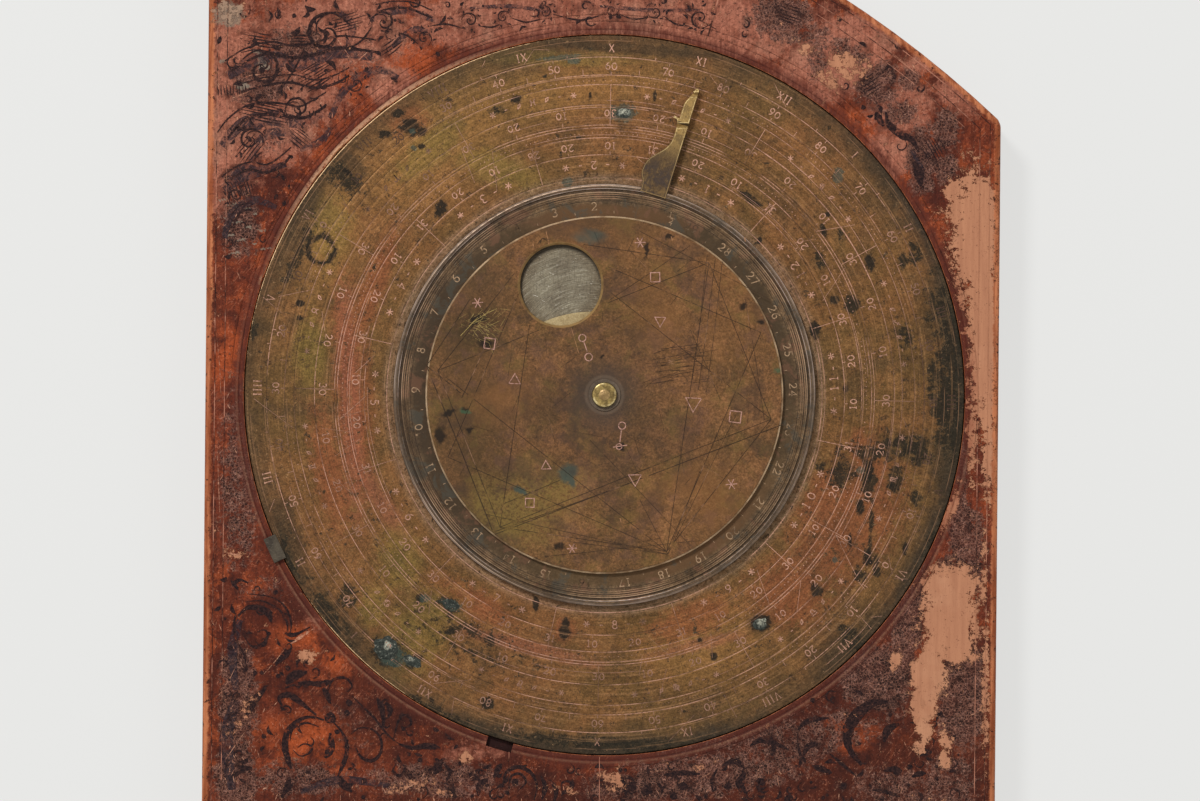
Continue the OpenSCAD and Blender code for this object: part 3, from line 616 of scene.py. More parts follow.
def moon_material():
    p = Paint("moon_disc_patina")
    colour, fine, hair = moon_colour(p)
    window = p.vec("DISTANCE", p.flat, WINDOW)
    # Bright line round the disc's rim and golden line round the window's edge: painted highlights of the
    # bevelled edges; the rim is also made smoother and more metallic
    outer = p.all(p.step(p.radius(), 35.34, 35.44), p.step(p.noise(4, 4), 0.34, 0.56, 0.45, 1))
    inner = p.all(p.step(window, 8.6, 8.46), p.step(p.noise(3, 4), 0.36, 0.6, 0.35, 1))
    edge_highlight = p.mix(p.step(p.noise(3, 4), 0.4, 0.62), (214, 184, 148), (158, 128, 96))
    colour = p.tint(colour, edge_highlight, outer, 0.9)
    colour = p.tint(colour, (150, 120, 76), inner, 0.8)
    p.bump(p.math("ADD", p.math("MULTIPLY", fine, 0.6), hair), 0.3, 0.06)
    return p.finish(colour, p.step(outer, 0, 1, 0.5, 0.36), p.step(outer, 0, 1, 0.3, 0.7), 0.08)


def marks_material(name, colour_of, keep, strength=0.9, filling=FILLING):
    """Engraving on a disc: the disc's own patina, with the pale filling left in places."""
    p = Paint(name)
    colour = colour_of(p)[0]
    kept = fill_mask(p, keep)
    colour = p.mix(0.55, colour, DIRT)
    return p.finish(p.mix(p.all(kept, strength), colour, filling), 0.6, 0.05, 0.08)


def line_material():
    """Fine lines of the moon disc, dark with a worn glint."""
    p = Paint("moon_lines")
    colour = moon_colour(p)[0]
    dark = p.mix(0.8, colour, (38, 31, 26))
    glint = p.step(p.noise(6, 3), 0.58, 0.7)
    dark = p.mix(p.step(p.noise(2.4, 5, 0.7), 0.36, 0.46), colour, dark)
    return p.finish(p.mix(p.all(glint, 0.45), dark, (178, 134, 104)), 0.5, 0.1, 0.08)


def metal_material(name, base, dark, light, rough=0.38, metal=0.85, size=1.6, wear=0.5):
    """Plain worn metal with tarnish in clouds, specks and fine scratches."""
    p = Paint(name)
    cloud = p.noise(size * 2.2, 5, 0.65)
    speck = p.noise(size * 0.35, 4, 0.75)
    colour = p.mix(p.step(cloud, 0.36, 0.66), base, dark)
    colour = p.tint(colour, dark, p.step(speck, 0.56, 0.66), wear)
    hair = p.drawn(0.7, 0.1, 0)
    colour = p.tint(colour, light, p.step(hair, 0.58, 0.7), 0.5)
    colour = p.grit(colour, p.noise(0.3, 3, 0.7), 0.15)
    p.bump(p.math("ADD", hair, p.math("MULTIPLY", speck, 0.6)), 0.3, 0.04)
    return p.finish(colour, p.step(cloud, 0.3, 0.7, rough - 0.06, rough + 0.14), metal, 0.2)


def pointer_colour(p):
    """Golden towards the tip, brown and smoky at the foot, with dark bands near the tip."""
    r = p.radius()
    cloud = p.noise(3.5, 5, 0.7)
    speck = p.noise(0.5, 4, 0.75)
    colour = p.mix(p.step(p.math("MULTIPLY_ADD", cloud, 5.0, r), 50, 57), (84, 64, 42), (152, 122, 72))
    colour = p.tint(colour, (72, 56, 38), p.step(cloud, 0.45, 0.62), 0.6)
    colour = p.tint(colour, (166, 136, 84), p.step(cloud, 0.42, 0.3), 0.5)
    colour = p.tint(colour, (44, 34, 26), p.step(speck, 0.57, 0.64), 0.7)
    polish = p.step(p.drawn(0.12, 2.0, 17), 0.56, 0.66)
    colour = p.tint(colour, (184, 154, 104), polish, p.step(r, 49, 56, 0.15, 0.6))
    blot = p.noise(2.1, 5, 0.7, bend=0.4)
    foot = p.step(p.math("MULTIPLY_ADD", cloud, 5.0, r), 53, 48)
    colour = p.tint(colour, (60, 50, 46), foot, p.step(blot, 0.44, 0.6), 0.8)
    colour = p.tint(colour, (118, 92, 56), foot, p.step(blot, 0.5, 0.36), 0.7)
    away = p.math("SUBTRACT", p.math("MULTIPLY_ADD", speck, 0.3, r), 56.55)
    band = p.step(p.math("ABSOLUTE", away), 0.34, 0.18)
    colour = p.tint(colour, (40, 32, 26), band, 0.8)
    return p.grit(colour, p.noise(0.3, 3, 0.7), 0.15)


def pointer_material():
    p = Paint("pointer_brass")
    p.bump(p.noise(0.4, 4, 0.75), 0.3, 0.05)
    return p.finish(pointer_colour(p), 0.42, 0.35, 0.2)


def pointer_edge_material():
    p = Paint("pointer_edge")
    # Painted highlight of the pointer's bevelled edges, also worn brass; duller towards the foot
    edge_highlight = p.mix(p.step(p.noise(1.2, 5, 0.7), 0.4, 0.6), (216, 188, 132), (150, 122, 76))
    edge_highlight = p.mix(p.step(p.radius(), 47, 55), (136, 110, 72), edge_highlight)
    return p.finish(edge_highlight, 0.36, 0.5, 0.3)


def silver_material():
    """Scraped silver: arcs and cross scratches, browner towards the edge, with a painted shadow under the
    window's rim along its upper side.
    """
    p = Paint("scratched_silver")
    away = p.vec("SUBTRACT", p.flat, (-3.0, 6.0, 0))
    swing = p.vec("LENGTH", away)
    turn = p.vec("SCALE", p.vec("NORMALIZE", away), scale=5.0)
    node = p.add("ShaderNodeCombineXYZ")
    p.put(node.inputs[2], p.math("DIVIDE", swing, 0.15))
    arcs = p.noise(1, 2, 0.6, vec=p.vec("ADD", turn, node.outputs[0]))
    cross = p.drawn(0.2, 2.4, 6)
    cloud = p.noise(5, 5, 0.6)
    window = p.vec("DISTANCE", p.flat, WINDOW)
    colour = p.mix(p.step(cloud, 0.35, 0.65), (126, 117, 98), (104, 94, 78))
    colour = p.tint(colour, (96, 80, 58), p.step(window, 4, 9), 0.6)
    colour = p.tint(colour, (76, 66, 52), p.step(arcs, 0.54, 0.62), 0.5)
    colour = p.tint(colour, (84, 74, 60), p.step(cross, 0.54, 0.62), 0.5)
    colour = p.tint(colour, (166, 158, 138), p.step(arcs, 0.44, 0.36), 0.35)
    colour = p.tint(colour, (214, 206, 190), p.step(p.drawn(0.22, 1.6, -70), 0.67, 0.7), 0.8)
    # Painted shadow of the window's rim, a dark crescent along the window's upper side
    window_rim_shadow = p.step(p.vec("DISTANCE", p.flat, (-8.72, 21.2, 0)), 7.5, 8.2)
    colour = p.tint(colour, (42, 35, 26), window_rim_shadow, 0.8)
    colour = p.grit(colour, p.noise(0.32, 3, 0.7), 0.2)
    p.bump(p.math("ADD", arcs, cross), 0.5, 0.06)
    return p.finish(colour, 0.5, 0.3, 0.2)


def collar_material():
    """Yellow collar: painted highlight on the rounded rim, a dark outermost edge, duller face."""
    p = Paint("collar_brass")
    r = p.radius()
    cloud = p.noise(1.3, 5, 0.7)
    colour = p.mix(p.step(cloud, 0.36, 0.64), (156, 132, 78), (104, 85, 48))
    lit = p.step(p.noise(2.0, 3), 0.42, 0.58)
    # Painted highlight on the collar's rounded rim
    colour = p.tint(colour, (222, 202, 148), p.step(r, 1.9, 2.15), lit, 0.75)
    colour = p.tint(colour, (52, 41, 26), p.step(r, 2.28, 2.46), 0.85)
    colour = p.tint(colour, (104, 86, 52), p.step(p.noise(0.4, 4, 0.8), 0.56, 0.66), 0.6)
    colour = p.grit(colour, p.noise(0.35, 3, 0.7), 0.2)
    p.bump(cloud, 0.4, 0.08)
    return p.finish(colour, 0.36, 0.45, 0.3)


def arbor_material():
    p = Paint("peened_end")
    cloud = p.noise(0.7, 5, 0.7)
    colour = p.mix(p.step(cloud, 0.36, 0.64), (150, 122, 76), (116, 90, 54))
    p.bump(p.cells(0.35, "SMOOTH_F1"), 0.5, 0.08)
    return p.finish(colour, 0.42, 0.5)


MATERIALS = {
    "wood": wood_material(),
    "ink": ink_material(),
    "wash": wash_material(),
    "front_line": front_material(),
    "scribe": scribe_material(),
    "bare_scratch": scratch_material(),
    "plate": plate_material(),
    "plate_marks": plate_marks_material(),
    "sun": sun_material(),
    "sun_marks": marks_material("sun_engraving", sun_colour, 0.44, 0.8, (176, 144, 112)),
    "moon": moon_material(),
    "moon_marks": marks_material("moon_symbols", moon_colour, 0.33, 0.82, (190, 144, 128)),
    "moon_glint": marks_material("moon_glints", moon_colour, 0.36, 0.7, (178, 152, 92)),
    "copper_line": marks_material("copper_line", moon_colour, 0.2, 0.7, (190, 138, 98)),
    "moon_lines": line_material(),
    "pointer": pointer_material(),
    "pointer_edge": pointer_edge_material(),
    "silver": silver_material(),
    "gilt": metal_material("worn_gilt", (176, 156, 116), (140, 120, 84), (206, 190, 156), 0.4, 0.5),
    "collar": collar_material(),
    "arbor": arbor_material(),
    "washer": metal_material("washer_steel", (98, 84, 70), (76, 63, 52), (132, 118, 102), 0.5, 0.3),
    "clip": metal_material("clip_tin", (80, 71, 58), (52, 45, 38), (122, 112, 96), 0.5, 0.3),
    "fitting": metal_material("fitting_brass", (146, 116, 66), (98, 76, 46), (196, 164, 104), 0.4, 0.75),
}


# Mesh making
def make(name, verts, faces, material, body, smooth=None):
    """A mesh object from millimetre points, riding on a body."""
    mesh = bpy.data.meshes.new(name)
    mesh.from_pydata([(x * MM, y * MM, z * MM) for x, y, z in verts], [], faces)
    tool = bmesh.new()
    tool.from_mesh(mesh)
    bmesh.ops.recalc_face_normals(tool, faces=tool.faces)
    tool.to_mesh(mesh)
    tool.free()
    if smooth:
        mesh.polygons.foreach_set("use_smooth", [True] * len(mesh.polygons))
        mesh.set_sharp_from_angle(angle=math.radians(smooth))
    mesh.materials.append(MATERIALS[material])
    obj = bpy.data.objects.new(name, mesh)
    scene.collection.objects.link(obj)
    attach(obj, body)
    return obj


def ring_faces(rings, sides, closed=True):
    """Faces between rings of points, with the last ring filled and, where closed, the first one too."""
    faces = []
    for k in range(rings - 1):
        a, b = k * sides, (k + 1) * sides
        for i in range(sides):
            j = (i + 1) % sides
            faces.append((a + i, a + j, b + j, b + i))
    if closed:
        faces.append(tuple(range(sides)))
    faces.append(tuple(range((rings - 1) * sides, rings * sides))[::-1])
    return faces


def around(centre, r, deg):
    """Place at a radius and a direction about a centre, clockwise from +Y."""
    return (centre[0] + r * math.sin(math.radians(deg)), centre[1] + r * math.cos(math.radians(deg)))


def oval(centre, wide, high, sides):
    """Points of an oval about a centre."""
    turns = [math.tau * i / sides for i in range(sides)]
    return [(centre[0] + wide * math.cos(t), centre[1] + high * math.sin(t)) for t in turns]


class Pen:
    """Draws thin closed prisms that stand a little out of one level."""

    def __init__(self, level, rise=0.02, sink=0.05):
        self.high = level + rise
        self.low = level - sink
        self.verts = []
        self.faces = []

    def _close(self, rows, ends):
        """rows are left and right points along a band; ends says whether it is open."""
        n = len(rows)
        start = len(self.verts)
        high = self.high + rng.uniform(0, 0.006)
        for left, right in rows:
            self.verts += [(*left, high), (*right, high), (*left, self.low), (*right, self.low)]
        last = n - 1 if ends else n
        for i in range(last):
            a = start + 4 * i
            b = start + 4 * ((i + 1) % n)
            self.faces += [
                (a, a + 1, b + 1, b), (a + 2, b + 2, b + 3, a + 3),
                (a, b, b + 2, a + 2), (a + 1, a + 3, b + 3, b + 1),
            ]
        if ends:
            z = start + 4 * (n - 1)
            self.faces += [(start, start + 2, start + 3, start + 1), (z, z + 1, z + 3, z + 2)]

    def stroke(self, points, width, closed=False):
        """A line of a width, or of widths that follow the points."""
        n = len(points)
        widths = width if isinstance(width, (list, tuple)) else [width] * n
        rows = []
        for i, (x, y) in enumerate(points):
            before = points[i - 1] if i or closed else points[i]
            after = points[(i + 1) % n] if i < n - 1 or closed else points[i]
            a = Vector((x - before[0], y - before[1]))
            b = Vector((after[0] - x, after[1] - y))
            a = a.normalized() if a.length > 1e-9 else b.normalized()
            b = b.normalized() if b.length > 1e-9 else a
            way = a + b
            way = way.normalized() if way.length > 0.3 else b
            side = Vector((-way.y, way.x)) * (widths[i] / 2 / max(0.6, way.dot(b)))
            rows.append(((x + side.x, y + side.y), (x - side.x, y - side.y)))
        self._close(rows, not closed)

    def patch(self, ring):
        """A filled outline."""
        n = len(ring)
        start = len(self.verts)
        high = self.high + rng.uniform(0, 0.006)
        self.verts += [(x, y, high) for x, y in ring] + [(x, y, self.low) for x, y in ring]
        self.faces.append(tuple(range(start, start + n)))
        self.faces.append(tuple(range(start + 2 * n - 1, start + n - 1, -1)))
        for i in range(n):
            j = (i + 1) % n
            self.faces.append((start + i, start + n + i, start + n + j, start + j))

    def dot(self, place, r, sides=7):
        self.patch(oval(place, r, r, sides))

    def circle(self, centre, r, width, start=0.0, stop=360.0, step=1.0):
        """Circle or arc about a centre; angles clockwise from +Y."""
        whole = stop - start >= 360
        n = max(3, round((stop - start) / step))
        turns = [start + (stop - start) * i / n for i in range(n if whole else n + 1)]
        self.stroke([around(centre, r, t) for t in turns], width, whole)

    def piece(self, name, material, body, slot):
        """Makes a mesh object of all that is drawn."""
        return make(name, self.verts, self.faces, material, body)


def arc(cx, cy, rx, ry, start, stop, n=8):
    turns = [math.radians(start + (stop - start) * i / n) for i in range(n + 1)]
    return [(cx + rx * math.cos(t), cy + ry * math.sin(t)) for t in turns]


# Signs: each has a width and strokes in a box one high
GLYPHS = {
    "0": (0.66, [arc(0.33, 0.46, 0.33, 0.46, 0, 342, 13) + [(0.66, 0.46)]]),
    "1": (0.36, [[(0, 0.8), (0.2, 1), (0.2, 0)], [(0.02, 0), (0.38, 0)], [(0.02, 1), (0.2, 1)]]),
    "2": (
        0.62,
        [arc(0.3, 0.7, 0.29, 0.3, 165, -35, 9) + [(0.02, 0.02), (0.6, 0.02)], [(0.6, 0.02), (0.64, 0.16)]],
    ),
    "3": (0.58, [arc(0.26, 0.76, 0.26, 0.24, 150, -85, 8), arc(0.24, 0.26, 0.32, 0.28, 85, -150, 9)]),
    "4": (0.7, [[(0.5, -0.04), (0.5, 1), (0.02, 0.32), (0.7, 0.32)], [(0.36, -0.04), (0.62, -0.04)]]),
    "5": (0.58, [[(0.56, 1), (0.12, 0.98), (0.08, 0.6)] + arc(0.24, 0.3, 0.31, 0.3, 110, -150, 9)]),
    "6": (0.62, [[(0.52, 1.02), (0.24, 0.86), (0.04, 0.5)] + arc(0.31, 0.3, 0.29, 0.3, 170, 520, 14)]),
    "7": (0.58, [[(0.02, 0.86), (0.04, 0.98), (0.58, 0.98), (0.18, -0.06)]]),
    "8": (0.6, [arc(0.3, 0.76, 0.22, 0.24, 0, 360, 11), arc(0.3, 0.26, 0.29, 0.27, 0, 360, 12)]),
    "9": (0.62, [arc(0.31, 0.7, 0.29, 0.3, -10, 340, 14) + [(0.56, 0.46), (0.36, 0.12), (0.1, -0.04)]]),
    "I": (0.3, [[(0.15, 0), (0.15, 1)], [(0.02, 0), (0.28, 0)], [(0.02, 1), (0.28, 1)]]),
    "V": (0.72, [[(0.06, 1), (0.36, 0), (0.66, 1)], [(-0.04, 1), (0.18, 1)], [(0.56, 1), (0.76, 1)]]),
    "X": (
        0.7, [[(0.06, 1), (0.64, 0)], [(0.64, 1), (0.06, 0)], [(-0.02, 1), (0.16, 1)], [(0.54, 0), (0.72, 0)]]
    ),
    "/": (0.4, [[(0, 0.5), (0.4, 0.5)]]),
    "ram": (0.9, [arc(0.2, 0.78, 0.2, 0.2, 200, 0, 8) + [(0.45, 0)] + arc(0.7, 0.78, 0.2, 0.2, 180, -20, 8)]),
    "bull": (0.7, [arc(0.35, 0.3, 0.28, 0.3, 0, 360, 12), arc(0.35, 1.0, 0.34, 0.4, 190, 350, 8)]),
    "twins": (0.7, [
        [(0.2, 0.08), (0.2, 0.92)], [(0.5, 0.08), (0.5, 0.92)],
        arc(0.35, 1.3, 0.5, 0.42, 220, 320, 6), arc(0.35, -0.3, 0.5, 0.42, 140, 40, 6),
    ]),
    "crab": (0.95, [
        arc(0.17, 0.62, 0.15, 0.15, 0, 360, 9), arc(0.45, 0.5, 0.45, 0.42, 160, 30, 8),
        arc(0.76, 0.36, 0.15, 0.15, 0, 360, 9), arc(0.48, 0.48, 0.45, 0.42, 340, 210, 8),
    ]),
    "lion": (0.85, [
        arc(0.18, 0.3, 0.15, 0.15, 0, 360, 9),
        [(0.28, 0.42), (0.16, 0.66)] + arc(0.38, 0.72, 0.22, 0.26, 170, -30, 8)
        + [(0.5, 0.2)] + arc(0.66, 0.12, 0.14, 0.12, 180, 340, 5),
    ]),
    "maid": (0.95, [
        [(0.05, 0.92), (0.14, 0.8), (0.14, 0.1)], [(0.14, 0.8), (0.28, 0.94), (0.38, 0.8), (0.38, 0.1)],
        [(0.38, 0.8), (0.5, 0.94), (0.6, 0.8), (0.6, 0.2), (0.86, -0.08)],
        arc(0.66, 0.5, 0.2, 0.24, 110, -110, 8),
    ]),
    "scale": (0.9, [
        [(0, 0.08), (0.9, 0.08)], [(0, 0.34), (0.3, 0.34)] + arc(0.45, 0.6, 0.24, 0.26, 230, -50, 10)
        + [(0.9, 0.34)],
    ]),
    "sting": (0.95, [
        [(0.05, 0.92), (0.14, 0.8), (0.14, 0.1)], [(0.14, 0.8), (0.28, 0.94), (0.38, 0.8), (0.38, 0.1)],
        [(0.38, 0.8), (0.5, 0.94), (0.6, 0.8), (0.6, 0.14), (0.72, 0), (0.94, 0.16)],
    ]),
    "arrow": (
        0.8,
        [[(0.02, 0.02), (0.78, 0.94)], [(0.4, 0.94), (0.78, 0.94), (0.78, 0.54)], [(0.1, 0.5), (0.46, 0.16)]],
    ),
    "goat": (0.9, [
        [(0.04, 0.94), (0.2, 0.66), (0.26, 0.1)],
        [(0.22, 0.66), (0.38, 0.94), (0.5, 0.7), (0.48, 0.2), (0.3, -0.08)],
        arc(0.64, 0.32, 0.18, 0.18, 180, 520, 10),
    ]),
    "water": (1.0, [
        [(0, 0.56), (0.18, 0.8), (0.34, 0.56), (0.52, 0.8), (0.68, 0.56), (0.86, 0.8), (1.0, 0.58)],
        [(0, 0.2), (0.18, 0.44), (0.34, 0.2), (0.52, 0.44), (0.68, 0.2), (0.86, 0.44), (1.0, 0.22)],
    ]),
    "fish": (
        0.8,
        [
            arc(-0.1, 0.5, 0.3, 0.52, 65, -65, 8), arc(0.9, 0.5, 0.3, 0.52, 115, 245, 8),
            [(0.08, 0.5), (0.72, 0.5)],
        ],
    ),
    "star": (0.9, [
        [
            (0.45 - 0.45 * math.cos(t), 0.5 - 0.45 * math.sin(t)),
            (0.45 + 0.45 * math.cos(t), 0.5 + 0.45 * math.sin(t)),
        ]
        for t in (0.1, 1.147, 2.194)
    ]),
    "box": (0.9, [[(0.05, 0.05), (0.85, 0.05), (0.85, 0.85), (0.05, 0.85), (0.05, 0.05)]]),
    "peak": (1.0, [[(0.05, 0.05), (0.95, 0.05), (0.5, 0.85), (0.05, 0.05)]]),
    "ring": (0.8, [arc(0.4, 0.45, 0.35, 0.35, 0, 360, 12)]),
    "dash": (0.5, [[(0.05, 0.45), (0.45, 0.45)]]),
    "leaf": (0.7, [[(0.04, 0.2), (0.2, 0.62), (0.6, 0.86)], [(0.04, 0.2), (0.46, 0.36), (0.6, 0.86)]]),
}
SIGNS = ["ram", "bull", "twins", "crab", "lion", "maid", "scale", "sting", "arrow", "goat", "water", "fish"]


def sign(pen, name, place, up, size, width, mirror=False):
    """One sign with its middle at a place; up is the direction of its top; mirror is for the front face."""
    wide, strokes = GLYPHS[name]
    up = Vector(up).normalized()
    tilt = math.radians(rng.uniform(-3, 3))
    c, s = math.cos(tilt), math.sin(tilt)
    up = Vector((up.x * c - up.y * s, up.x * s + up.y * c))
    right = Vector((-up.y, up.x)) if mirror else Vector((up.y, -up.x))
    size = size * rng.uniform(0.95, 1.05)
    for line in strokes:
        points = []
        for x, y in line:
            away = right * ((x - wide / 2) * size) + up * ((y - 0.5) * size)
            points.append((place[0] + away.x, place[1] + away.y))
        ends = [width * 0.75] + [width] * (len(points) - 2) + [width * 0.75]
        pen.stroke(points, ends if len(points) > 2 else width * 0.9)


def words(pen, names, r, deg, size, width, outward=True, gap=0.28):
    """Signs side by side along a circle, with their tops outward or towards the axis."""
    total = sum(GLYPHS[n][0] + gap for n in names) - gap
    way = 1 if outward else -1
    run = -total / 2
    for name in names:
        wide = GLYPHS[name][0]
        turn = deg + way * math.degrees((run + wide / 2) * size / r)
        place = dial(r, turn)
        up = (place[0] * way, place[1] * way)
        sign(pen, name, place, up, size, width)
        run += wide + gap


# Engraving of the calendar plate
RULING = 0.17
HOURS_R = 69.4
DEGREES_R = 65.8
SIGNS_R = 60.2
TENS_R = 56.32
DAYS_R = 49.8
MONTHS_R = 46.0
AGE_R = 37.7
NOON = 31.2
YEAR_END = 41.8
HOURS = ["I", "II", "III", "IIII", "V", "VI", "VII", "VIII", "IX", "X", "XI", "XII"]
MONTH_DAYS = [31, 28, 31, 30, 31, 30, 31, 31, 30, 31, 30, 31]


def radial(pen, r0, r1, deg, width=RULING):
    pen.stroke([dial(r0, deg), dial(r1, deg)], width)


def dotted(pen, r, count, start, step):
    """A circle of punched dots, with some of them worn away."""
    for i in range(count):
        if rng.random() < 0.9:
            pen.dot(dial(r + rng.uniform(-0.06, 0.06), start + i * step), rng.uniform(0.08, 0.13), 5)


def engrave_plate():
    pen = Pen(PLATE_TOP)
    for i in range(24):
        deg = NOON + 15 * (i + 1)
        words(pen, list(HOURS[i % 12]), HOURS_R, deg, 1.5, 0.22)
        radial(pen, 67.7, 68.2, deg + 7.5, 0.12)
    for i in range(36):
        deg = NOON + 10 * i
        part = i % 18
        number = 90 - 10 * part if part <= 9 else 10 * (part - 9)
        words(pen, list(str(number)), DEGREES_R, deg, 1.4, 0.21)
        radial(pen, 64.0, 64.7, deg, 0.12)
        radial(pen, 66.9, 67.5, deg, 0.12)
        radial(pen, 64.05, 65.2, deg + 5, 0.1)
    dotted(pen, 62.86, 360, NOON, 1)
    for i in range(12):
        start = NOON + 30 * (i + 1)
        radial(pen, 54.1, 62.0, start, 0.11)
        row = ["star", "dash", "leaf", SIGNS[(9 - i) % 12], "leaf", "dash", "star"]
        words(pen, row, SIGNS_R, start - 15, 1.4, 0.2, False, 1.3)
        for k in (1, 2, 3):
            words(pen, list(str(10 * k)), TENS_R, start - 10 * k, 1.35, 0.2, False, 0.4)
            radial(pen, 54.1, 54.9, start - 10 * k, 0.1)
    dotted(pen, 52.4, 365, YEAR_END, -360 / 365)
    gone = 0
    for month, days in enumerate(MONTH_DAYS):
        for day in (10, 20, days):
            deg = YEAR_END - (gone + day) * 360 / 365
            words(pen, list(str(day)), DAYS_R, deg, 1.35, 0.2, False, 0.4)
            radial(pen, 48.1, 48.7, deg, 0.1)
        radial(pen, 43.7, 51.4, YEAR_END - (gone + days) * 360 / 365, 0.11)
        middle_deg = YEAR_END - (gone + days / 2) * 360 / 365
        row = ["star", "dash"] + list(str(month + 1)) + ["dash", "star"]
        words(pen, row, MONTHS_R, middle_deg, 1.55, 0.22, False, 1.2 if month < 9 else 0.9)
        gone += days
    for _ in range(30):
        deg, r = rng.uniform(0, 360), rng.uniform(43.5, 71)
        pen.circle((0, 0), r, rng.uniform(0.05, 0.09), deg, deg + rng.uniform(5, 40), 2)
    for _ in range(46):
        deg, r = rng.uniform(0, 360), rng.uniform(44, 70)
        run, lean = rng.uniform(1.5, 8), rng.uniform(-6, 6)
        pen.stroke([dial(r, deg), dial(min(71, r + run), deg + lean)], rng.uniform(0.05, 0.09))
    return pen.piece("plate_engraving", "plate_marks", "board", "plate_brass")


def engrave_sun():
    pen = Pen(SUN_TOP)
    for k in range(1, 30):
        deg = 17.4 - 12.203 * (k - 0.5) - 2.2
        words(pen, list(str(k)), AGE_R, deg, 1.5, 0.21, True, 0.4)
        radial(pen, 36.3, 36.8, deg - 6.1, 0.12)
    sign(pen, "1", dial(38.4, 20.2), dial(1, 20.2), 0.8, 0.15)
    pen.stroke([dial(37.8, 19.4), dial(37.8, 22.0)], 0.12)
    sign(pen, "2", dial(37.2, 21.0), dial(1, 21.0), 0.85, 0.15)
    pen.piece("sun_engraving", "sun_marks", "sun", "disc_brass")


# Room kept free of lines round the moon disc's window and the pivot
HOLE_CLEAR = 9.2
PIVOT_CLEAR = 3.6


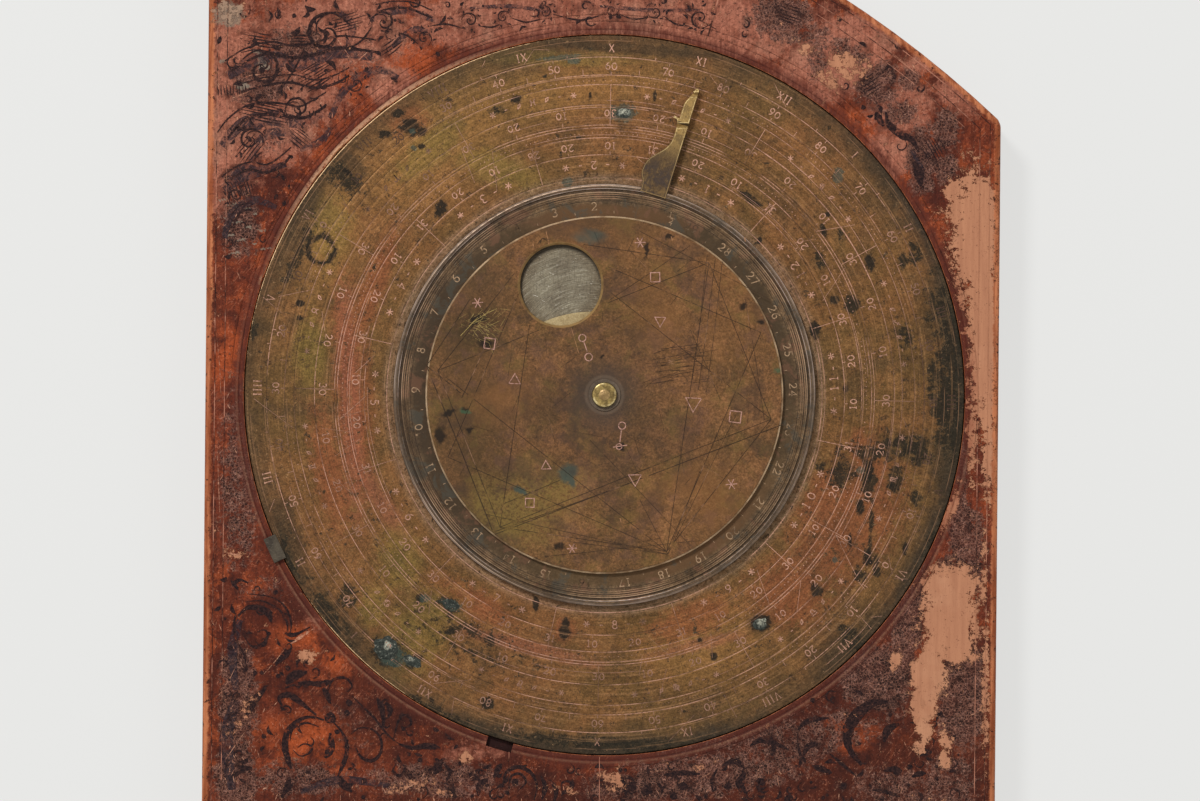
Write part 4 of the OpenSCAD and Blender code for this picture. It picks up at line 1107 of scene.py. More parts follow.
def engrave_moon():
    lines = Pen(MOON_TOP)
    reach = 33.6
    hole = Vector(at(561.5, 285.3))
    for first, share in ((338.3, 3), (158.3, 3), (338.3, 4), (338.3, 6)):
        corners = [dial(reach, first + 360 * i / share) for i in range(share)]
        for i in range(share):
            a, b = Vector(corners[i]), Vector(corners[(i + 1) % share])
            steps = 40
            run = []
            for k in range(steps + 1):
                q = a.lerp(b, k / steps)
                if (q - hole).length < HOLE_CLEAR or q.length < PIVOT_CLEAR:
                    if len(run) > 1:
                        lines.stroke(run, 0.13)
                    run = []
                else:
                    run.append((q.x, q.y))
            if len(run) > 1:
                lines.stroke(run, 0.13)
    fan = dial(34.2, 158.3)
    for x, y in ((487, 514), (560, 540), (735, 416), (700, 470), (640, 500)):
        lines.stroke([fan, at(x, y)], 0.1)
    for x0, y0, x1, y1, width in (
        (495, 534, 783, 424, 0.17), (493, 532, 635, 481, 0.15), (427, 366, 493, 531, 0.2),
        (427, 366, 461, 393, 0.2), (427, 366, 470, 300, 0.14), (715, 259, 698, 390, 0.12),
        (722, 262, 706, 392, 0.1), (707, 256, 692, 380, 0.1), (690, 330, 720, 400, 0.09),
        (486, 345, 462, 398, 0.16), (500, 505, 560, 480, 0.12), (640, 232, 770, 300, 0.1),
        (745, 300, 764, 420, 0.1), (545, 556, 700, 540, 0.1), (610, 300, 690, 246, 0.1),
        (590, 440, 690, 545, 0.1),
    ):
        lines.stroke([at(x0, y0), at((x0 + x1) / 2 + 0.6, (y0 + y1) / 2), at(x1, y1)], width)
    for _ in range(34):
        x, y = rng.uniform(644, 690), rng.uniform(348, 388)
        run = rng.uniform(16, 40)
        lines.stroke([at(x, y), at(x + run, y - rng.uniform(1, 9))], rng.uniform(0.06, 0.11))
    for _ in range(60):
        deg, r = rng.uniform(0, 360), 33.5 * math.sqrt(rng.uniform(0.05, 1))
        run, way = rng.uniform(1.5, 6), math.radians(rng.uniform(0, 360))
        a = dial(r, deg)
        b = (a[0] + run * math.cos(way), a[1] + run * math.sin(way))
        if math.hypot(*b) < 34.5 and (Vector(b) - hole).length > 9.5 and (Vector(a) - hole).length > 9.5:
            lines.stroke([a, b], rng.uniform(0.05, 0.08))
    lines.piece("moon_lines", "moon_lines", "moon", "disc_brass")

    shiny = Pen(MOON_TOP, 0.02)
    for _ in range(70):
        x, y = rng.gauss(480, 10), rng.gauss(326, 8)
        run, lean = rng.uniform(3, 13), math.radians(rng.choice((rng.uniform(25, 60), rng.uniform(-70, 0))))
        end = at(x + run * math.cos(lean), y - run * math.sin(lean))
        shiny.stroke([at(x, y), end], rng.uniform(0.04, 0.07))
    shiny.stroke([at(461, 336), at(474, 322), at(486, 314), at(497, 309)], 0.13)
    shiny.piece("moon_scratches", "moon_glint", "moon", "disc_brass")
    copper = Pen(MOON_TOP, 0.022)
    copper.stroke([at(546.3, 232), at(549.2, 245.5)], 0.1)
    copper.stroke([at(571.3, 328), at(578.7, 353)], 0.08)
    for x, y in ((671, 239), (744, 240), (533, 246), (620, 520)):
        copper.stroke([at(x, y - 2), at(x + 1, y + 2)], 0.14)
    copper.piece("index_lines", "copper_line", "moon", "disc_brass")

    marks = Pen(MOON_TOP, 0.025)
    rows = [
        ("star", 640, 243, 0, 2.4), ("star", 478, 303, 0, 2.4), ("star", 731, 484, 0, 2.4),
        ("star", 572, 548, 0, 2.3), ("box", 655, 277, 0, 2.4), ("box", 490, 343, 10, 2.7),
        ("box", 735, 416, 8, 2.8), ("box", 530, 502, 0, 2.2), ("peak", 660, 323, 180, 2.3),
        ("peak", 515, 378, 0, 2.5), ("peak", 693, 406, 180, 3.4), ("peak", 635, 481, 180, 2.8),
        ("peak", 546, 464, 0, 2.2), ("ring", 582.4, 337.6, 0, 2.1), ("ring", 588.7, 356.6, 0, 2.1),
        ("ring", 622, 425, 0, 2.1), ("ring", 619, 446, 0, 1.6),
    ]
    for name, x, y, turn, size in rows:
        up = (math.sin(math.radians(turn)), math.cos(math.radians(turn)))
        sign(marks, name, at(x, y), up, size, 0.2)
    marks.stroke([at(584, 342.5), at(587.2, 351.5)], 0.2)
    marks.stroke([at(621.4, 429), at(619.8, 442)], 0.18)
    marks.stroke([at(613, 447), at(627, 445)], 0.18)
    marks.piece("moon_symbols", "moon_marks", "moon", "disc_brass")


def px_ellipses(x, y, rows):
    """Largest of soft ellipses placed in the picture, at object places x and y.

    A row is x, y, half width, half height, turn in degrees and weight; the last two may be left off.
    """
    total = np.zeros_like(x)
    for px, py, rx, ry, *more in rows:
        turn, weight = more + [0, 1][len(more):]
        cx, cy = at(px, py)
        t = math.radians(turn)
        u = ((x - cx) * math.cos(t) - (y - cy) * math.sin(t)) / (rx * PX)
        v = ((x - cx) * math.sin(t) + (y - cy) * math.cos(t)) / (ry * PX)
        total = np.maximum(total, weight * np.clip(1.5 - np.sqrt(u * u + v * v), 0, 1))
    return total


def places(obj):
    mesh = obj.data
    co = np.zeros(len(mesh.vertices) * 3)
    mesh.vertices.foreach_get("co", co)
    return co.reshape(-1, 3).T / MM


def write_fields(obj, fields):
    for name, values in fields.items():
        layer = obj.data.attributes.new(name, "FLOAT", "POINT")
        layer.data.foreach_set("value", values.astype(np.float32))


# Plate: colours and stains, as rows for px_ellipses
PLATE_FIELDS = {
    "gold": [
        (440, 140, 90, 50, -35), (560, 90, 120, 26, -10), (330, 240, 26, 60, 15), (700, 640, 60, 40, -20),
    ],
    "red": [
        (846, 520, 44, 74, 35), (870, 470, 22, 36), (352, 390, 18, 110, -4), (372, 290, 12, 60, 20),
        (330, 470, 16, 60, -12), (407, 120, 20, 16), (565, 630, 10, 12), (690, 620, 44, 16, -20),
        (790, 590, 40, 34), (470, 600, 44, 14, 30), (822, 496, 16, 40, 30),
        (860, 450, 12, 20), (836, 560, 14, 22),
    ],
    "rose": [(350, 400, 10, 110, -4), (380, 500, 10, 50, -35), (520, 645, 80, 7, 14), (700, 644, 50, 6, -14)],
    "lime": [
        (418, 636, 30, 56, 40), (400, 560, 22, 32), (310, 350, 16, 36), (560, 58, 70, 8),
        (500, 170, 44, 16, 20), (330, 230, 20, 36), (372, 606, 14, 22), (430, 150, 40, 16, -40),
    ],
    "east": [
        (982, 400, 66, 250), (860, 660, 50, 40), (905, 170, 40, 30, 40), (905, 350, 20, 60, 0, 0.5),
        (905, 446, 36, 18, 0, 0.9), (830, 550, 50, 60, 0, 0.5),
        (290, 540, 16, 60, -15), (340, 640, 26, 40, -40), (500, 738, 60, 12, 14), (640, 748, 120, 10),
        (300, 220, 12, 50, 25), (344, 158, 40, 10, 42), (640, 50, 120, 6, 4),
    ],
    "grimy": [(370, 150, 100, 60, -42), (970, 380, 70, 280), (296, 330, 14, 120), (330, 620, 20, 60, -30)],
    "soot": [
        (944, 236, 9, 50, -18, 0.85), (953, 340, 13, 60), (950, 410, 16, 50), (915, 252, 7, 9),
        (903, 262, 5, 8), (938, 300, 12, 30, 0, 0.8), (936, 378, 9, 24, 10, 0.8), (820, 262, 6, 8),
        (842, 236, 4, 7), (904, 448, 30, 10, 14, 0.85), (884, 150, 22, 10, 50, 0.8), (853, 304, 9, 9),
        (870, 452, 26, 9, 10, 0.8), (842, 474, 15, 16, 10, 0.9), (821, 466, 6, 5), (868, 484, 8, 14),
        (859, 506, 3, 6), (895, 478, 8, 12, 10), (916, 450, 12, 14, 0, 0.9), (917, 498, 6, 8),
        (871, 530, 2.4, 28, 3), (860, 574, 6, 8, -30), (876, 571, 4, 6), (819, 591, 5, 5),
        (338, 172, 34, 12, 42, 0.75), (500, 110, 10, 6, 0, 0.8), (288, 556, 6, 26, -20, 0.85),
        (262, 520, 4, 10, -10), (640, 746, 150, 8, 4, 0.85), (440, 716, 44, 8, 24, 0.85),
        (870, 656, 60, 10, 45, 0.75), (930, 560, 9, 60, 15, 0.75), (905, 340, 10, 16, 0, 0.6),
        (470, 730, 40, 7, 22, 0.7), (254, 330, 4, 10, 0, 0.8), (330, 614, 9, 40, -34, 0.8),
        (350, 596, 12, 14, 0, 0.7), (300, 250, 6, 40, 25, 0.7), (470, 640, 60, 20, 20, 0.5),
        (664, 182, 10, 12, 0, 0.55),
    ],
    "drops": [
        (441, 208, 6, 8, 20), (516, 99, 5, 4), (488, 703, 7, 6), (410, 127, 9, 9), (398, 113, 7, 5),
        (422, 131, 5, 4), (748, 196, 4, 9, -60), (752, 201, 10, 3, 30), (300, 303, 4, 3), (450, 632, 6, 3),
        (868, 470, 6, 12), (893, 488, 8, 4, 30), (815, 330, 6, 8), (835, 300, 5, 5), (450, 605, 12, 7, 20),
        (566, 624, 4, 7), (823, 230, 3, 8, -15), (870, 262, 5, 9), (714, 657, 4, 4), (868, 556, 5, 10),
        (815, 589, 5, 7), (860, 508, 4, 8), (828, 214, 3, 3), (700, 640, 3, 3),
        (590, 96, 2, 4), (655, 96, 2, 5), (760, 240, 2, 4), (432, 700, 3, 3), (536, 604, 3, 8),
        (905, 548, 3, 7), (846, 388, 3, 4), (300, 318, 3, 3), (420, 598, 4, 4), (348, 172, 6, 3, 30),
        (565, 632, 6, 8), (388, 652, 18, 14, 20), (414, 662, 10, 5, -30), (760, 624, 11, 9), (876, 560, 3, 6),
        (850, 540, 2, 6), (384, 134, 7, 4), (421, 146, 4, 3),
    ],
    "green": [
        (624, 113, 14, 9), (568, 182, 6, 5), (452, 605, 12, 5, 20), (425, 598, 6, 4), (392, 655, 16, 11, 25),
        (414, 662, 9, 4), (562, 57, 22, 3, -6), (835, 560, 3, 3), (838, 176, 6, 8), (860, 470, 4, 4),
        (412, 131, 4, 3), (572, 60, 8, 4), (878, 130, 4, 4), (414, 148, 3, 3),
    ],
}
SIDES = 1080


def paint_plate(obj):
    x, y = places(obj)[:2]
    r = np.hypot(x, y)
    fields = {name: px_ellipses(x, y, rows) for name, rows in PLATE_FIELDS.items()}
    halo = np.hypot(*(np.array((x, y)) - np.array(at(321, 250))[:, None])) / PX
    fields["drops"] = np.maximum(fields["drops"], np.clip(1.1 - np.abs(halo - 13.5) / 5, 0, 1) * 0.85)
    # Painted highlight of the plate's rim, strongest at the upper left and the lower left
    west = np.clip(1.4 - np.abs((np.degrees(np.arctan2(x, y)) + 46) / 40), 0, 1)
    low = np.clip(1.3 - np.abs((np.degrees(np.arctan2(x, y)) + 137) / 14), 0, 1)
    fields["rim_light"] = np.clip(1 - (PLATE_R - r) / 0.3, 0, 1) * np.maximum(west, low)
    turned = np.degrees(np.arctan2(x, y))
    east = np.clip(1.5 - np.abs(turned - 88) / 38, 0, 1)
    south = np.clip(1.4 - np.abs(np.abs(turned) - 172) / 16, 0, 1)
    fields["slate"] = np.clip(np.maximum(east, south) + 0.25, 0, 1)
    write_fields(obj, fields)


def dress_plate():
    """The plate with its ruled circles cut in, worn flat places and a nicked rim."""
    low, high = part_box("calendar_plate")
    edge = high.x / MM
    stations = list(np.arange(40, edge - 0.3, 0.4))
    for ring in PLATE_RINGS:
        stations = [s for s in stations if abs(s - ring) > 0.25] + [ring - 0.1, ring, ring + 0.1]
    stations += [edge - 0.28, edge - 0.14, edge - 0.05]
    verts = []
    for s in sorted(stations):
        for i in range(SIDES):
            t = math.tau * i / SIDES
            x, y = s * math.sin(t), s * math.cos(t)
            z = PLATE_TOP - 0.012 - 0.012 * noise.noise((x / 7, y / 7, 3.0))
            if any(abs(s - ring) < 0.01 for ring in PLATE_RINGS):
                z -= 0.045
            elif s > edge - 0.2:
                nick = max(0.0, noise.noise((x / 1.4, y / 1.4, 9.0)) - 0.2)
                z -= (0.05 if s > edge - 0.1 else 0.01) + 0.12 * nick
            verts.append((x, y, z))
    for s, z in ((edge, PLATE_TOP - 0.14), (edge, low.z / MM + 0.1), (edge - 0.1, low.z / MM)):
        verts += [(*around((0, 0), s, 360 * i / SIDES), z) for i in range(SIDES)]
    faces = ring_faces(len(verts) // SIDES, SIDES)
    plate = make("dressed_plate", verts, faces, "plate", "board", 50)
    paint_plate(plate)
    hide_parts("calendar_plate")


dress_plate()
paint_plate(engrave_plate())
engrave_sun()
engrave_moon()


# Brush drawing on the wood, in the picture's own places
def through(points, parts=7):
    """Smooth line through points."""
    padded = [points[0]] + list(points) + [points[-1]]
    line = []
    for a, b, c, d in zip(padded, padded[1:], padded[2:], padded[3:]):
        for k in range(parts):
            t = k / parts
            spot = []
            for p, q, r, s in zip(a, b, c, d):
                bend = (2 * p - 5 * q + 4 * r - s) * t ** 2 + (3 * q - p - 3 * r + s) * t ** 3
                spot.append(0.5 * (2 * q + (r - p) * t + bend))
            line.append(tuple(spot))
    line.append(tuple(points[-1]))
    return line


# Reach of the drawing: left, right, bottom, radius about the apex, radius about the axis
DRAWN = (-78.3, 77.3, -111.2, 213.3, 73.6)
INKED = []


def on_board(px, py):
    """Whether a place in the picture is on the board's top, clear of the recess and the edges."""
    x, y = at(px, py)
    left, right, bottom, limb, recess = DRAWN
    inside = left < x < right and y > bottom and math.hypot(x - APEX[0], y - APEX[1]) < limb
    return inside and math.hypot(x, y) > recess


def brush(pen, points, width, peak=0.5, thin=0.28, smudge=0.0):
    """A brush line that swells to its full width at peak."""
    line = through(points)
    if not all(on_board(*q) for q in line):
        return
    if smudge:
        INKED.extend((*at(*q), width * PX * smudge) for q in line[::2])
    widths = []
    for i in range(len(line)):
        t = i / (len(line) - 1)
        t = t / peak if t < peak else (1 - t) / (1 - peak)
        swell = thin + (1 - thin) * math.sin(t * math.pi / 2) ** 1.5
        widths.append(width * PX * swell * rng.uniform(0.88, 1.1))
    pen.stroke([at(*q) for q in line], widths)


def curl(pen, x, y, r, start, turns, width, peak=0.3, close=0.16):
    """A spiral that winds in to its middle; a negative number of turns winds the other way."""
    steps = max(6, int(abs(turns) * 7))
    points = []
    for k in range(steps + 1):
        t = k / steps
        a = math.radians(start + 360 * turns * t)
        reach = r * (1 - (1 - close) * t ** 0.8)
        points.append((x + reach * math.cos(a), y + reach * math.sin(a)))
    brush(pen, points, width, peak, smudge=0.6)


def berry(pen, x, y, r):
    if not on_board(x, y):
        return
    INKED.append((*at(x, y), r * PX))
    ring = []
    for k in range(9):
        a = math.tau * k / 9
        reach = r * rng.uniform(0.8, 1.15)
        ring.append(at(x + reach * math.cos(a), y + reach * math.sin(a)))
    pen.patch(ring[::-1])


def leaf(pen, x, y, deg, length, width, bow=0.2):
    """A leaf from a foot at a place, pointing deg clockwise from the picture's upright."""
    a = math.radians(deg)
    ux, uy = math.sin(a), -math.cos(a)
    mid = (x + ux * length / 2 - uy * bow * length, y + uy * length / 2 + ux * bow * length)
    brush(pen, [(x, y), mid, (x + ux * length, y + uy * length)], width, 0.45, 0.1, 0.5)


# Brush lines of the lower left and of the bottom: points, width in pixels, and where the line is widest
LOWER_LEFT = [
    ([(247, 594), (271, 597), (285, 607), (291, 622), (290, 633)], 1.6, 0.7),
    ([(246, 602), (262, 601), (278, 609), (286, 620), (288, 633)], 1.8, 0.7),
    ([(238, 616), (247, 608), (258, 608), (268, 613), (271, 622)], 5.5, 0.75),
    ([(236, 613), (234, 626), (237, 642), (244, 655), (246, 668)], 2.2, 0.3),
    ([(243, 634), (251, 646), (262, 644), (268, 635), (264, 630), (257, 632)], 2.0, 0.4),
    ([(285, 633), (292, 635), (299, 633), (310, 627)], 3.4, 0.25), ([(254, 648), (262, 645)], 3.6, 0.5),
    ([(276, 663), (284, 656), (291, 650)], 5.5, 0.5), ([(286, 684), (294, 676), (307, 672)], 8.0, 0.45),
    ([(246, 716), (255, 700), (266, 688)], 6.5, 0.4),
    ([(285, 688), (302, 683), (320, 684), (331, 681)], 4.6, 0.8),
    ([(328, 690), (333, 680), (345, 678), (352, 686), (347, 692)], 2.2, 0.4),
    ([(323, 688), (327, 695), (330, 704)], 5.0, 0.4),
    ([(282, 706), (279, 698), (289, 695), (301, 703), (316, 715)], 4.8, 0.55),
    ([(324, 720), (309, 717), (296, 722), (287, 733), (285, 747), (288, 760), (291, 769)], 5.0, 0.75),
    ([(290, 741), (293, 729), (306, 723), (319, 727)], 1.8, 0.5),
    ([(333, 722), (341, 731), (346, 742), (346, 756), (338, 776)], 3.4, 0.85),
    ([(330, 733), (331, 747), (325, 758)], 6.5, 0.6),
    ([(293, 750), (300, 756), (309, 753), (312, 747), (304, 744), (297, 748)], 1.8, 0.5),
    ([(351, 734), (360, 728), (373, 730), (381, 740), (380, 754), (371, 761), (361, 757), (356, 748)],
     2.6, 0.8),
    ([(377, 698), (382, 710), (384, 725)], 4.6, 0.4), ([(386, 702), (390, 710), (388, 718)], 4.6, 0.5),
    ([(352, 696), (362, 706), (374, 718), (388, 735), (399, 744)], 2.0, 0.5),
    ([(393, 741), (396, 729), (400, 718), (408, 716), (411, 724), (404, 728)], 2.4, 0.6),
    ([(399, 744), (412, 748), (426, 746), (440, 748)], 5.0, 0.75),
    ([(436, 758), (438, 767), (434, 774)], 7.0, 0.5),
    ([(238, 590), (234, 584), (240, 580), (248, 583)], 3.0, 0.5),
    ([(232, 778), (240, 770), (252, 768)], 6.0, 0.5), ([(352, 792), (343, 784), (340, 776)], 6.0, 0.5),
    ([(283, 795), (287, 787), (290, 776)], 5.0, 0.5),
    ([(399, 762), (405, 768), (400, 776), (393, 771), (396, 764)], 2.4, 0.5),
]
BOTTOM = [
    ([(444, 764), (450, 772), (446, 782)], 3.0, 0.4),
    ([(503, 786), (506, 773), (518, 767), (531, 773), (537, 786), (534, 800)], 3.2, 0.4),
    ([(509, 790), (511, 777), (520, 774), (526, 782), (520, 789)], 2.2, 0.5),
    ([(494, 778), (498, 769), (502, 764)], 5.0, 0.5),
    ([(478, 796), (480, 785), (488, 779)], 5.0, 0.5),
    ([(541, 776), (545, 787), (542, 800)], 4.0, 0.5),
    ([(550, 780), (556, 790), (554, 802)], 4.0, 0.5),
    ([(562, 792), (562, 783), (570, 782), (571, 790), (565, 793)], 2.0, 0.5),
    ([(596, 781), (606, 780), (616, 779), (625, 788), (626, 798)], 3.4, 0.7),
    ([(664, 775), (680, 773), (700, 774)], 4.0, 0.6),
    ([(750, 746), (761, 740), (774, 743), (789, 750)], 5.0, 0.4),
    ([(770, 736), (774, 746), (772, 756)], 4.0, 0.5),
    ([(722, 766), (735, 761), (744, 768)], 5.0, 0.5),
    ([(718, 768), (712, 780), (713, 792)], 2.6, 0.5),
    ([(745, 772), (740, 784), (746, 794)], 7.0, 0.5),
    ([(798, 730), (808, 721), (829, 718)], 4.0, 0.5),
    ([(798, 733), (798, 745), (801, 758), (799, 768)], 2.6, 0.8),
    ([(803, 756), (809, 746), (818, 744)], 4.6, 0.5),
    ([(888, 702), (873, 703), (860, 712), (850, 725), (847, 738), (851, 752), (862, 765)], 9.0, 0.4),
    ([(884, 742), (888, 730), (899, 724)], 6.0, 0.5),
    ([(932, 752), (922, 752), (914, 744)], 7.0, 0.5),
    ([(884, 771), (894, 769), (902, 771)], 4.4, 0.5),
    ([(912, 777), (919, 774), (926, 773)], 4.6, 0.5),
    ([(812, 766), (821, 769), (832, 773)], 5.0, 0.5),
    ([(830, 754), (842, 764), (856, 776)], 3.0, 0.5),
    ([(872, 790), (886, 792), (900, 797)], 3.0, 0.5),
    ([(886, 112), (889, 124), (900, 134), (912, 140), (919, 152)], 6.0, 0.5),
    ([(876, 112), (879, 119), (884, 126)], 6.0, 0.4),
    ([(914, 160), (919, 174), (921, 186)], 7.0, 0.5),
]
BERRIES = [
    (288, 668, 2.8), (278, 676, 2.4), (262, 673, 2.2), (349, 703, 3.6), (347, 713, 3.2), (330, 718, 6.2),
    (364, 781, 3), (515, 782, 4.0), (632, 786, 5), (647, 790, 6), (674, 796, 4), (683, 786, 4.6),
    (760, 781, 3.6), (728, 786, 4), (910, 767, 3.0), (843, 786, 4), (762, 782, 4), (789, 799, 5),
    (420, 760, 2.6), (452, 792, 3.4),
]


def scroll(pen, x, y, r, turn, way=1):
    """A leafy scroll: a spiral on a stem, with leaves around it and a berry in its eye."""
    curl(pen, x, y, r, turn, way * 1.3, r * 0.16, 0.35)
    curl(pen, x, y, r * 1.14, turn + way * 20, way * 0.45, r * 0.08)
    berry(pen, x, y, r * 0.13)
    for k in range(6):
        a = turn + way * (40 + 52 * k)
        fx, fy = x + r * 1.04 * math.cos(math.radians(a)), y + r * 1.04 * math.sin(math.radians(a))
        leaf(pen, fx, fy, a + 90 + way * 50, r * rng.uniform(0.4, 0.62), r * 0.2, 0.2 * way)
    for k in (1, 3):
        a = math.radians(turn + way * (70 + 60 * k))
        berry(pen, x + r * 1.42 * math.cos(a), y + r * 1.42 * math.sin(a), r * 0.09)


def hatch(pen, x, y, wide, high, deg, gap, width):
    """Close parallel strokes over an oval field."""
    t = math.radians(deg)
    rows = int(high / gap)
    for k in range(rows + 1):
        v = -high / 2 + high * k / rows
        half = wide / 2 * math.sqrt(max(0.0, 1 - (2 * v / high) ** 2)) * rng.uniform(0.6, 1.05)
        ends = []
        for u in (-half, 0, half):
            w = v + rng.uniform(-0.25, 0.25) * gap
            ends.append((x + u * math.cos(t) - w * math.sin(t), y + u * math.sin(t) + w * math.cos(t)))
        brush(pen, ends, width * rng.uniform(0.6, 1.3), 0.5, 0.2, 1.2)


def band(pen, points, width, gap):
    """Strapwork: two lines side by side, the lower one heavier, with cross hatching between."""
    line = through(points, 5)
    for side, weight in ((-0.5, 1.0), (0.5, 1.7)):
        moved = []
        for q, n in zip(line, line[1:] + [line[-1]]):
            run = Vector((n[0] - q[0], n[1] - q[1]))
            run = run.normalized() if run.length > 1e-6 else Vector((1, 0))
            moved.append((q[0] - run.y * side * gap, q[1] + run.x * side * gap))
        brush(pen, moved[::3] + [moved[-1]], width * weight, 0.5, 0.6, 0.8)
    for q, n in list(zip(line, line[1:]))[::2]:
        run = Vector((n[0] - q[0], n[1] - q[1]))
        if run.length > 1e-6 and rng.random() < 0.8:
            run.normalize()
            a = (q[0] - run.y * gap * 0.1 + run.x, q[1] + run.x * gap * 0.1 + run.y)
            b = (q[0] + run.y * gap * -0.42, q[1] + run.x * gap * 0.42)
            brush(pen, [a, b], width * 0.8, 0.5, 0.3, 0.6)


def draw_panels(pen):
    """Strapwork and hatching of the upper left corner and of the parts past the picture's edges."""
    for points, width, gap in (
        ([(222, 136), (242, 114), (272, 108), (302, 112), (326, 98)], 2.2, 12),
        ([(228, 66), (262, 48), (300, 52), (338, 42), (376, 46)], 2.2, 12),
        ([(224, 180), (246, 166), (270, 168), (290, 152)], 1.8, 8),
        ([(240, 88), (284, 78), (320, 84), (348, 72)], 1.6, 8),
        ([(230, 226), (238, 210), (252, 206)], 1.4, 6), ([(376, 8), (404, 4), (432, 14)], 1.4, 7),
        ([(240, -20), (290, -36), (350, -22), (400, -30), (470, -16)], 1.8, 9),
        ([(520, -16), (580, -30), (640, -20), (700, -28)], 1.8, 9),
        ([
            (240, 850), (330, 838), (420, 848), (520, 838), (620, 848), (720, 838), (830, 848),
            (950, 838),
        ], 1.8, 9),
    ):
        band(pen, points, width, gap)
    for x, y, wide, high, deg, gap in (
        (266, 112, 60, 24, 12, 3.0), (316, 76, 44, 30, -30, 3.0), (262, 40, 40, 18, 10, 2.8),
        (346, 22, 40, 20, -14, 2.8), (250, 150, 34, 26, -50, 3.0), (300, 138, 26, 20, 40, 2.8),
        (392, 46, 26, 16, -36, 2.8), (240, 190, 24, 30, 70, 3.0), (232, 90, 16, 34, 84, 3.0),
        (300, 40, 30, 14, 0, 2.8), (790, 14, 34, 22, 20, 3.0), (870, 84, 26, 22, -30, 3.0),
        (934, 150, 30, 26, 60, 3.2), (300, 820, 70, 20, 5, 3.0), (520, 826, 80, 18, -5, 3.0),
        (760, 822, 80, 20, 4, 3.0),
    ):
        hatch(pen, x, y, wide, high, deg, gap, 1.3)


def scatter_leaves(pen):
    """Small leaves, dots and tendrils that fill the ground between the scrolls."""
    fields = (
        (214, 330, 575, 800, 60), (330, 470, 700, 800, 40), (470, 830, 764, 800, 60),
        (800, 960, 690, 800, 40), (214, 300, 0, 260, 34), (300, 440, 0, 90, 26), (440, 700, 0, 30, 22),
        (740, 950, 0, 190, 34), (214, 985, 806, 940, 130), (214, 700, -140, -6, 90),
    )
    for x0, x1, y0, y1, count in fields:
        for _ in range(count):
            x, y = rng.uniform(x0, x1), rng.uniform(y0, y1)
            kind = rng.random()
            if kind < 0.5:
                deg, length = rng.uniform(0, 360), rng.uniform(5, 12)
                leaf(pen, x, y, deg, length, rng.uniform(2.2, 4.6), rng.uniform(-0.3, 0.3))
            elif kind < 0.75:
                berry(pen, x, y, rng.uniform(1.2, 2.8))
            else:
                r, deg = rng.uniform(4, 8), rng.uniform(0, 360)
                curl(pen, x, y, r, deg, rng.choice((-0.9, 0.9)), rng.uniform(1.2, 2.2))


